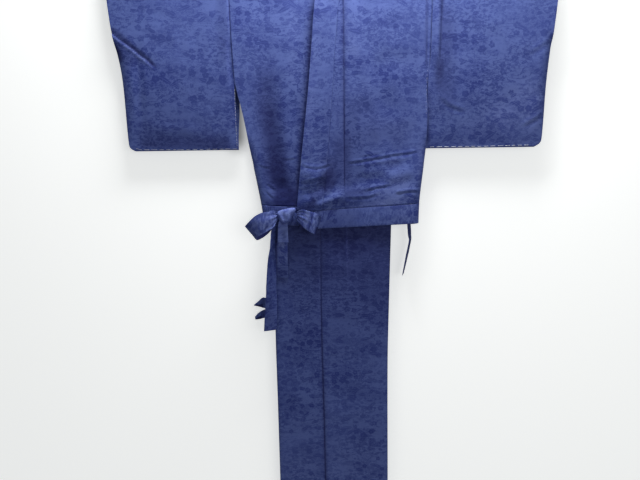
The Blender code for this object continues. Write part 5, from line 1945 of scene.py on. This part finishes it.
@dataclass(frozen=True)
class Bow:
    """The bow at the wearer's right hip, and the ties that hang by it."""

    knot: BowKnot = BowKnot()
    loops: Tuple[Ribbon, ...] = (
        Ribbon("bow_loop_left", (
            (-0.1151, 0.7387, -0.1155, 0.7608, 0.037, 1.0), (-0.1081, 0.7337, -0.1076, 0.77, 0.043, 1.0),
            (-0.0959, 0.7304, -0.0986, 0.7808, 0.0475, 0.7), (-0.0809, 0.7345, -0.0891, 0.7906, 0.049, 0.3),
            (-0.0659, 0.7397, -0.0814, 0.7968, 0.0435, 0.0), (-0.0611, 0.7413, -0.0772, 0.7993, 0.047, 0.0),
            (-0.0509, 0.7457, -0.0688, 0.8034, 0.0475, 0.0), (-0.042, 0.7516, -0.061, 0.8079, 0.044, 0.0),
            (-0.0414, 0.7534, -0.0601, 0.8092, 0.038, 0.0), (-0.051, 0.7519, -0.0686, 0.8041, 0.033, 0.0),
            (-0.0753, 0.7439, -0.0867, 0.79, 0.0305, 0.1), (-0.0995, 0.7398, -0.1016, 0.7712, 0.031, 0.6),
            (-0.1153, 0.7406, -0.1156, 0.7569, 0.0325, 0.8),
        ), 4.3, pleats=3.5, pleat=0.0005, pale=0.86, painted_crease_at=0.345),
        Ribbon("bow_loop_right", (
            (-0.1737, 0.7431, -0.1741, 0.7599, 0.037, 1.0), (-0.1822, 0.7384, -0.1802, 0.7742, 0.043, 1.0),
            (-0.1953, 0.736, -0.1898, 0.7865, 0.048, 0.7), (-0.2191, 0.7374, -0.2088, 0.7968, 0.0525, 0.3),
            (-0.2406, 0.7482, -0.2243, 0.8056, 0.0515, 0.1), (-0.2598, 0.7653, -0.2354, 0.8124, 0.046, 0.0),
            (-0.2734, 0.7805, -0.2404, 0.8225, 0.038, 0.0), (-0.2679, 0.775, -0.2342, 0.8249, 0.031, 0.0),
            (-0.2462, 0.7543, -0.2192, 0.8177, 0.0275, 0.1), (-0.2185, 0.7439, -0.2004, 0.8023, 0.0275, 0.3),
            (-0.1939, 0.7432, -0.1865, 0.7825, 0.03, 0.6), (-0.174, 0.7453, -0.1744, 0.7607, 0.0325, 0.8),
        ), 5.9, pleats=2.0, pleat=0.0006, pale=0.88),
    )
    ties: Tuple[Tie, ...] = (
        Tie("tail_short", (
            (-0.156, 0.039, 0.76, 0.024, 0), (-0.158, 0.0385, 0.78, 0.029, 0),
            (-0.159, 0.0345, 0.805, 0.031, 0), (-0.159, 0.032, 0.834, 0.0335, 0),
        ), hemmed=True, seed=1.1, pale=0.66),
        Tie("tail_under", (
            (-0.157, 0.0255, 0.762, 0.016, 0), (-0.157, 0.0205, 0.785, 0.026, 0),
            (-0.164, 0.0185, 0.83, 0.036, 0), (-0.1665, 0.015, 0.9, 0.038, 4),
            (-0.1665, 0.0108, 0.952, 0.039, 0),
        ), seed=2.6, crown=0.0006, ripple=0.0004, pale=1.00, painted_fade=0.7, painted_crevice_shade=0.9),
        Tie("tail_long", (
            (-0.176, 0.03, 0.764, 0.018, 30), (-0.1815, 0.0315, 0.78, 0.024, 50),
            (-0.1885, 0.0315, 0.806, 0.031, 66), (-0.19, 0.0315, 0.84, 0.037, 67),
            (-0.195, 0.0315, 0.89, 0.04, 55), (-0.1985, 0.0315, 0.96, 0.041, 45),
            (-0.2005, 0.031, 1.01, 0.041, 38), (-0.2035, 0.03, 1.06, 0.041, 26),
            (-0.207, 0.029, 1.117, 0.041, 20),
        ), hemmed=True, seed=3.9, pale=-0.30),
        Tie("tie_root_left", (
            (-0.104, 0.0183, 0.766, 0.034, 0), (-0.1105, 0.02, 0.764, 0.03, 0),
            (-0.118, 0.027, 0.756, 0.024, 0), (-0.127, 0.033, 0.752, 0.02, 0),
        ), rests_on=("band_left_cloth",), level=True, seed=6.2),
        Tie("tie_root_right", (
            (-0.2, 0.0149, 0.756, 0.036, 0), (-0.186, 0.0149, 0.755, 0.034, 0),
            (-0.176, 0.02, 0.752, 0.024, 0), (-0.165, 0.03, 0.75, 0.015, 0),
        ), rests_on=("band_back_cloth",), level=True, seed=7.4),
        Tie("inner_tie", (
            (0.2295, -0.0018, 0.765, 0.018, 50), (0.2308, -0.001, 0.788, 0.021, 54),
            (0.233, 0.0, 0.82, 0.024, 60), (0.2344, 0.0, 0.84, 0.026, 68), (0.226, 0.0, 0.885, 0.028, 68),
            (0.2138, 0.0, 0.948, 0.029, 75),
        ), rests_on=("band_left_cloth",), seed=8.8, crown=0.0006, ripple=0.0004, pale=-0.62),
    )

    def build(self) -> None:
        """Makes the knot, its loops and the ties."""
        self.knot.build()
        for part in (*self.loops, *self.ties):
            part.build()


@dataclass(frozen=True)
class Skirt:
    """The wrap skirt, folded in four, with its waistband and ties.

    Attributes:
        depth: How far its outer layers stand from the middle.
        top: The drop of the waistband's top.
        band: The drop of the waistband's lower edge.
        hem: The drop of the hem.
        curl: How far in from a side a panel curls toward the middle.
        left_edge: The side at the viewer's right.
        right_edge: The side at the viewer's left.
        seam: The seam between the overlap and the front panel.
        fall_shade: How much shade is painted under the jacket down the skirt, and light near the hem where it
            is negative.
        press_across: Where the front's press crease lies.
        inset: How far the hidden layers are set in at the sides.
        layer_half: Half of such a layer's depth.
        top_set: How far the panels lie back at the top.
        loop_across: How far the ties that carry it are from the centre.
        loop_width: How wide they are.
    """

    depth: float = 0.0075
    top: float = 0.725
    band: float = 0.775
    hem: float = 1.700
    curl: float = 0.006
    left_edge: Line = Line((0.775, 0.175), (1.027, 0.17), (1.241, 0.167), (1.653, 0.17), (1.7, 0.17))
    right_edge: Line = Line((0.775, -0.186), (0.893, -0.187), (1.123, -0.192), (1.367, -0.191), (1.7, -0.19))
    seam: Line = Line((0.775, -0.043), (1.024, -0.045), (1.238, -0.0435), (1.458, -0.04), (1.7, -0.038))
    fall_shade: Line = Line(
        (0.775, 0.7), (0.845, 0.68), (0.895, 0.56), (0.945, 0.5), (0.995, 0.38), (1.1, 0.22), (1.2, 0.1),
        (1.3, 0.0), (1.45, -0.04), (1.6, -0.16), (1.7, -0.2),
    )
    press_across: float = 0.0375
    inset: float = 0.005
    layer_half: float = 0.001584
    top_set: float = 0.0014
    loop_across: float = 0.024
    loop_width: float = 0.022

    def build(self) -> None:
        """Makes the panels, the two folded lengths between them, the waistband and the ties."""
        self._panel("skirt_okumi", self.right_edge, self.seam, 1, 0.145, 0.0044, 0.0)
        self._panel("skirt_front", self.seam, self.left_edge, 1, 0.213, 0.0044, 1.0)
        self._panel("skirt_back", self.right_edge, self.left_edge, -1, 0.359, 0.012, 0.0)
        self._folded(0, 0.0031, 0.0010, 0.0)
        self._folded(1, -0.0031, 0.0, -0.004)
        self._waistband()
        for side in (LEFT, RIGHT):
            self._loop(side)
        self._tie_end()

    def _panel(
        self, node: str, low: Line, high: Line, face: int, width: float, step: float, press: float
    ) -> None:
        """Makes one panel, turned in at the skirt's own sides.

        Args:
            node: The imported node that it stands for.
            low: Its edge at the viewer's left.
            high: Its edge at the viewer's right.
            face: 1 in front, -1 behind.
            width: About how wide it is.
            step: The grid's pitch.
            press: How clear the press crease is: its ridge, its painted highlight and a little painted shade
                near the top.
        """
        drops = spaced(self.band + GAP, self.hem, step)
        seed = 13.0 + width * 10

        def across_of(share: float, drop: float) -> float:
            """The place across."""
            return between(low.at(drop), high.at(drop), share)

        def place(share: float, drop: float) -> Vector:
            """The middle of the wall."""
            across = across_of(share, drop)
            inset = min(across - self.right_edge.at(drop), self.left_edge.at(drop) - across)
            curl = math.sqrt(1 - (1 - min(max(inset, 0.0) / self.curl, 1.0)) ** 2)
            loose = ease(0.0, 0.02, inset) * ease(self.band, self.band + 0.05, drop)
            wave = 0.0016 * unevenness(across, drop * 0.22, 15.0 + face, 0.055)
            wave += 0.0007 * unevenness(across, drop, 18.0 + face, 0.06)
            dip = 0.0012 * near(across - self.seam.at(drop), 0.0042) if face > 0 else 0.0
            ridge = press * 0.0011 * bump(across, self.press_across, 0.006) * (1 - ease(0.90, 1.15, drop))
            back_set = self.top_set * (1 - ease(self.band + 0.05, self.band + 0.20, drop))
            depth = (self.depth - back_set) * (0.25 + 0.75 * curl) + (wave + ridge) * loose - dip
            return hung(across, face * depth, drop)

        def lay(share: float, drop: float) -> Pair:
            """The place on the flat cloth."""
            return across_of(share, drop) + seed * 0.3, -drop + seed * 0.1

        def marks(share: float, drop: float) -> Pair:
            """The seam's painted shade, the painted shade under the jacket and the press crease's painted
            highlight.
            """
            if face < 0:
                return 0.0, 0.0
            across = across_of(share, drop)
            apart = across - self.seam.at(drop)
            # Painted shade beside the seam and under the jacket, less where the strap hangs; painted
            # highlight on the press crease.
            sewn = 0.66 * near(apart, 0.0028) + 0.25 * near(apart, 0.009)
            line = bump(across, self.press_across, 0.0032) * press * (1 - ease(0.84, 1.02, drop))
            fall = self.fall_shade.at(drop) * (1 - 0.4 * bump(across, -0.165, 0.045))
            return painted_marks(sewn, fall + 0.06 * press * (1 - ease(0.9, 1.3, drop)), line)

        shares = seamed_shares(width, step)
        if press:
            middle = self.press_across - across_of(0.0, 1.0)
            shares = sorted([*shares, *((middle + 0.0016 * i) / width for i in range(-2, 3))])
        cut = Cut(width, self.hem - self.band, "hung", ("skirt_waistband",))
        Sheet(node, shares, drops, place, lay, cut, marks=marks).build()

    def _folded(self, number: int, middle: float, set_in: float, longer: float) -> None:
        """One hidden folded length, a flat tube whose turned edges show at the sides.

        Args:
            number: Its place in the fold.
            middle: How far before the skirt's middle plane it lies.
            set_in: How much farther in its edges are than the other's.
            longer: How much longer it is than the other.
        """
        drops = spaced(self.band + GAP, self.hem - 0.002 + longer, 0.012)

        def place(share: float, drop: float) -> Vector:
            """The middle of the wall."""
            low = self.right_edge.at(drop) + self.inset + set_in
            high = self.left_edge.at(drop) - self.inset - set_in
            flat = signed(math.cos(math.tau * share), 0.25)
            across = (low + high) / 2 + (high - low) / 2 * flat
            across += 0.0012 * unevenness(0.0, drop, 30.0 + number + (flat > 0), 0.09) * abs(flat) ** 4
            return hung(across, middle + self.layer_half * signed(math.sin(math.tau * share), 0.5), drop)

        def lay(share: float, drop: float) -> Pair:
            """The place on the flat cloth."""
            return place(share, drop).x + 0.5 * (share > 0.5), -drop + 0.6 * number

        cut = Cut(0.70, drops[-1] - drops[0], "folded", ("skirt_waistband",))
        name = f"skirt_layer_{number + 1}_cloth"
        Sheet("skirt_core", parts(44), drops, place, lay, cut, 0.0008, name=name).build()

    def _waistband(self) -> None:
        """The waistband: a band of cloth folded round the tops of all the layers."""
        low, high = self.right_edge.at(self.band), self.left_edge.at(self.band)
        depth = self.depth + 0.0006
        length = 2 * (high - low) + 4 * depth

        def place(share: float, down: float) -> Vector:
            """The middle of the wall."""
            across = (low + high) / 2 + (high - low - BAND) / 2 * signed(math.cos(math.tau * share), 0.2)
            out = signed(math.sin(math.tau * share), 0.35) * (depth - BAND / 2)
            close = 0.55 + 0.45 * math.sin(math.pi * min(down * 2.2, 0.5))
            return hung(across, out * close, between(self.top, self.band, down))

        def lay(share: float, down: float) -> Pair:
            """The place on the flat cloth."""
            return 0.05 * down + 4.4, length * share

        cut = Cut(length, 0.05, "folded", ("skirt_loop_left", "skirt_loop_right"))
        Sheet("skirt_waistband", parts(60), parts(14), place, lay, cut, 0.0014).build()

    def _loop(self, side: Side) -> None:
        """A skirt tie, up from the waistband, over the rod and down behind.

        Args:
            side: Which of the two it is.
        """
        radius = ROD_RADIUS + GAP + STRAP / 2
        drops = spaced(BEHIND_ROD, self.top - GAP, 0.008)

        def place(share: float, row: Row) -> Vector:
            """The middle of the wall."""
            across = side.sign * self.loop_across + self.loop_width * (share - 0.5)
            if abs(row.side) < 1:
                return hung(across, row.side * radius, row.drop + SADDLE - radius)
            depth = radius - 0.0022 * ease(radius, 0.03, row.drop) - 0.0025 * ease(0.60, 0.72, row.drop)
            return hung(across, row.side * depth, row.drop)

        def lay(share: float, row: Row) -> Pair:
            """The place on the flat cloth."""
            return self.loop_width * share + 5.0 * side.sign, row.side * row.drop

        cut = Cut(self.loop_width, 2 * self.top, "folded")
        rows = rows_over_rod(drops, drops, radius)
        Sheet(f"skirt_loop_{side.name}", parts(8), rows, place, lay, cut, STRAP, None, STRAP_EDGE).build()

    def _tie_end(self) -> None:
        """A skirt tie that hangs behind the skirt, with its end knotted into two points."""
        depth, low = -0.0098, -0.0122
        Tie(
            "skirt_tie_end", (
                (-0.1665, depth, 0.736, 0.03, 0), (-0.1665, depth, 0.9, 0.031, 0),
                (-0.167, depth, 1.0, 0.03, 0), (-0.18, depth, 1.03, 0.026, 0),
                (-0.19, depth, 1.056, 0.024, 0),
            ), 9.3, rests_on=("skirt_waistband_cloth",), name="skirt_tie_hanging", crown=0.0, ripple=0.0003,
        ).build()
        up = (
            (-0.19, 1.033, -0.19, 1.056, depth, 0.6), (-0.21, 1.0265, -0.208, 1.0555, depth, 0.3),
            (-0.2303, 1.02, -0.2266, 1.0549, depth, 0.1), (-0.246, 1.0325, -0.244, 1.05, depth, 0.0),
            (-0.2596, 1.044, -0.2592, 1.0468, depth, 0.0),
        )
        down = (
            (-0.19, 1.045, -0.19, 1.07, low, 0.6), (-0.21, 1.056, -0.21, 1.082, low, 0.3),
            (-0.2333, 1.0631, -0.2341, 1.0899, low, 0.1), (-0.248, 1.073, -0.247, 1.093, low, 0.0),
            (-0.2588, 1.085, -0.2572, 1.0935, low, 0.0),
        )
        for way, table, seed in (("up", up, 10.1), ("down", down, 11.4)):
            held, name = ("skirt_tie_hanging",), f"skirt_tie_point_{way}"
            Ribbon("", table, seed, rests_on=held, name=name, belly=0.0008).build()


@dataclass(frozen=True)
class StitchLine:
    """A run of basting stitches.

    Attributes:
        path: Its places as pairs of a place across and a drop.
        stitch: How long each visible stitch is.
        skip: How far the thread runs under the cloth between two.
        thread: How thick the thread is.
    """

    path: Tuple[Pair, ...]
    stitch: float = 0.014
    skip: float = 0.007
    thread: float = 0.0012

    def spans(self, seed: float) -> List[Tuple[Pair, Pair]]:
        """The two ends of each stitch, each of its own length.

        Args:
            seed: A number that gives the run its own unevenness.

        Returns:
            The pairs of ends.
        """
        steps = [math.dist(a, b) for a, b in zip(self.path, self.path[1:])]
        total, found, at = sum(steps), [], 0.002
        while at < total - 0.004:
            uneven = unevenness(at * 90, seed, 0.5, 1.0)
            end = min(at + self.stitch * (1 + 0.7 * uneven), total)
            found.append((self._along(steps, at), self._along(steps, end)))
            at = end + self.skip * (1 - 0.5 * uneven)
        return found

    def _along(self, steps: List[float], distance: float) -> Pair:
        """The place at a distance along the run.

        Args:
            steps: The lengths of the path's legs.
            distance: How far along it.

        Returns:
            The place across and the drop.
        """
        for (a0, d0), (a1, d1), step in zip(self.path, self.path[1:], steps):
            if distance <= step:
                return a0 + (a1 - a0) * distance / step, d0 + (d1 - d0) * distance / step
            distance -= step
        return self.path[-1]


@dataclass(frozen=True)
class BastingStitches:
    """Loose white stitches that hold an unworn kimono's edges flat until it is worn."""

    drape: Drape

    def build(self) -> None:
        """Makes the stitches of both sleeves, in front and behind."""
        left, right = Sleeve(LEFT, self.drape), Sleeve(RIGHT, self.drape)
        left_bottom = StitchLine(((0.290, 0.5510), (0.45, 0.5515), (0.590, 0.5495)), thread=0.0011)
        right_bottom = StitchLine(
            ((-0.292, 0.5490), (-0.45, 0.5492), (-0.585, 0.5480), (-0.598, 0.5440)), thread=0.0007
        )
        right_inner = StitchLine(((-0.2925, 0.372), (-0.2930, 0.46), (-0.2925, 0.546)), 0.006, 0.003, 0.0007)
        left_front = StitchLine(((0.2770, 0.325), (0.2745, 0.40), (0.2755, 0.455)), 0.004, 0.007, 0.0004)
        for front in (True, False):
            face = "front" if front else "back"
            self._run(f"basting_left_{face}", (left_bottom,), left, front)
            self._run(f"basting_right_{face}", (right_bottom, right_inner), right, front)
        self._run("basting_body_left", (left_front,), None, True)

    def _run(self, name: str, lines: Sequence[StitchLine], sleeve: Optional[Sleeve], front: bool) -> None:
        """Makes the stitches of one face.

        Args:
            name: The piece's name.
            lines: The runs on it.
            sleeve: The sleeve that they hold, or None for the left front.
            front: Whether they are on its front.
        """
        build = bmesh.new()
        for number, line in enumerate(lines):
            for ends in line.spans(number + len(name)):
                first, last = (self._on_cloth(sleeve, front, across, drop) for across, drop in ends)
                way = last - first
                turn = way.to_track_quat("Z", "Y").to_matrix().to_4x4()
                bmesh.ops.create_cone(
                    build, cap_ends=True, segments=6, radius1=line.thread / 2, radius2=line.thread / 2,
                    depth=way.length, matrix=Matrix.Translation((first + last) / 2) @ turn,
                )
        ROOM.hang(meshed(name, build, ROOM.finish(THREAD)))

    def _on_cloth(self, sleeve: Optional[Sleeve], front: bool, across: float, drop: float) -> Vector:
        """The place of a stitch's end, just outside the cloth."""
        depth = self.drape.over(across, drop) if sleeve is None else sleeve.depth(front, across, drop)
        depth += CLOTH / 2 + 0.0002
        return hung(across, depth if front else -depth, drop)


@dataclass(frozen=True)
class Studio:
    """The camera, the lights, a pale floor and a pale wall behind the garment, with a shadow painted on the
    wall.

    Attributes:
        camera_at: Where the camera stands.
        pitch: How far it looks down.
        roll: How far it is turned about its own axis.
        lens: Its focal length in millimetres, on a sensor 36 mm wide.
        wall_y: Where the wall is.
        floor_z: Where the floor is.
        painted_shadow_at: Where a shadow is painted on the wall behind the opening: its place across, its top
            and its foot.
    """

    camera_at: Triple = (-0.046, -1.903, SHOULDER_Z - 0.464)
    pitch: float = math.radians(11.0)
    roll: float = math.radians(-0.8)
    lens: float = 34.99
    wall_y: float = 0.032
    floor_z: float = -1.860
    painted_shadow_at: Triple = (-0.297, SHOULDER_Z - 0.420, SHOULDER_Z - 0.572)

    def build(self) -> None:
        """Makes all of it."""
        self._camera()
        self._lights()
        # The wall carries a painted shadow behind the opening below the right armhole.
        wall = self._pale("pale_wall", (0.80, 0.81, 0.80, 1.0), 0.715, True)
        self._sheet("backdrop", (9.0, 6.0), (0.0, self.wall_y, 1.0), math.radians(90), wall)
        floor = self._pale("pale_floor", (0.78, 0.78, 0.77, 1.0), 0.45)
        self._sheet("floor", (9.0, 7.0), (0.0, -2.6, self.floor_z), 0.0, floor)

    def _shown(self, obj: bpy.types.Object) -> bpy.types.Object:
        """The object, linked to the scene."""
        bpy.context.scene.collection.objects.link(obj)
        return obj

    def _camera(self) -> None:
        """The camera at the photo's place."""
        data = bpy.data.cameras.new("camera")
        data.lens = self.lens
        data.sensor_width = 36.0
        data.sensor_fit = "HORIZONTAL"
        data.clip_end = 50.0
        camera = self._shown(bpy.data.objects.new("camera", data))
        turn = Matrix.Rotation(math.radians(90) - self.pitch, 4, "X") @ Matrix.Rotation(self.roll, 4, "Z")
        camera.matrix_world = Matrix.Translation(self.camera_at) @ turn
        bpy.context.scene.camera = camera

    def _lights(self) -> None:
        """A broad light high above and a little before the garment, and a soft one from the front."""
        self._area("ceiling", (0.12, -0.28, 0.50), (0.06, -0.02, -0.9), (1.1, 0.22), 27.0)
        self._area("front", (1.5, -2.4, -0.4), (0.2, 0.0, -0.8), (1.6, 1.4), 10.0)
        world = bpy.data.worlds.new("room")
        world.use_nodes = True
        glow = world.node_tree.nodes["Background"].inputs
        glow["Color"].default_value = (0.93, 0.96, 1.0, 1.0)
        glow["Strength"].default_value = 0.21
        bpy.context.scene.world = world
        bpy.context.scene.view_settings.view_transform = "Standard"

    def _area(self, name: str, at: Triple, to: Triple, size: Pair, power: float) -> None:
        """Makes one area light.

        Args:
            name: Its name.
            at: Where it hangs.
            to: Where it points.
            size: Its two sides.
            power: Its power in watts.
        """
        data = bpy.data.lights.new(name, "AREA")
        data.shape = "RECTANGLE"
        data.size, data.size_y = size
        data.energy = power
        lamp = self._shown(bpy.data.objects.new(name, data))
        lamp.location = at
        lamp.rotation_euler = (Vector(to) - Vector(at)).to_track_quat("-Z", "Y").to_euler()
        lamp.visible_camera = False

    def _pale(self, name: str, colour: Colour, glow: float, painted_wall_shadow: bool = False) -> bpy.types.Material:
        """A plain pale finish that is seen from its front only.

        Args:
            name: The material's name.
            colour: Its colour.
            glow: How much light of its own it gives.
            painted_wall_shadow: Whether a shadow is painted on it behind the narrow opening below the right
                armhole.

        Returns:
            The material.
        """
        bench = Bench(name, base_color=colour, roughness=0.9, emission_color=colour, emission_strength=glow)
        if painted_wall_shadow:
            # Painted shadow: a soft dark patch on the wall behind the opening.
            x, _, z = bench.split(bench.add("ShaderNodeTexCoord", {}, {}, "Object"))
            at, upper, lower = self.painted_shadow_at
            shade = abs(x - at).step(0.050, 0.002) * (z - lower).step(-0.012, 0.060)
            shade = shade * (z - upper).step(0.040, -0.020)
            tone = bench.mixed(shade, colour, tuple(0.25 * part for part in colour[:3]) + (1.0,))
            bench.feed("Base Color", tone)
            bench.feed("Emission Color", tone)
        side = bench.add("ShaderNodeNewGeometry", {}, {}, "Backfacing")
        clear = bench.add("ShaderNodeBsdfTransparent", {}, {})
        either = bench.add("ShaderNodeMixShader", {}, {0: side, 1: bench.shader.outputs[0], 2: clear})
        bench.tree.links.new(either.socket, bench.tree.nodes["Material Output"].inputs["Surface"])
        return bench.material

    def _sheet(self, name: str, size: Pair, at: Triple, turn: float, finish: bpy.types.Material) -> None:
        """A flat sheet of the stage, turned about X, which takes no part in the light on the garment.

        Args:
            name: Its name.
            size: Its two sides.
            at: Where its middle is.
            turn: How far it is turned.
            finish: Its material.
        """
        build = bmesh.new()
        bmesh.ops.create_grid(build, x_segments=1, y_segments=1, size=0.5)
        bmesh.ops.scale(build, vec=(*size, 1.0), verts=build.verts)
        bmesh.ops.rotate(build, matrix=Matrix.Rotation(turn, 3, "X"), verts=build.verts)
        bmesh.ops.translate(build, vec=at, verts=build.verts)
        obj = self._shown(meshed(name, build, finish))
        for ray in ("diffuse", "glossy", "transmission", "shadow"):
            setattr(obj, f"visible_{ray}", False)


def main() -> None:
    """Builds every piece in order."""
    logging.basicConfig(level=logging.INFO, format="%(name)s: %(message)s")
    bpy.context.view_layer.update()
    Studio().build()
    ROOM.dress_node("hanger_rod", WOOD)
    ROOM.dress_node("hanger_hook", STEEL)
    pattern = Pattern()
    drape = Drape(pattern)
    JacketBody(pattern, drape).build()
    for side in (LEFT, RIGHT):
        Sleeve(side, drape).build()
    HemBands(pattern, drape).build()
    BastingStitches(drape).build()
    Bow().build()
    Skirt().build()


if __name__ == "__main__":
    main()
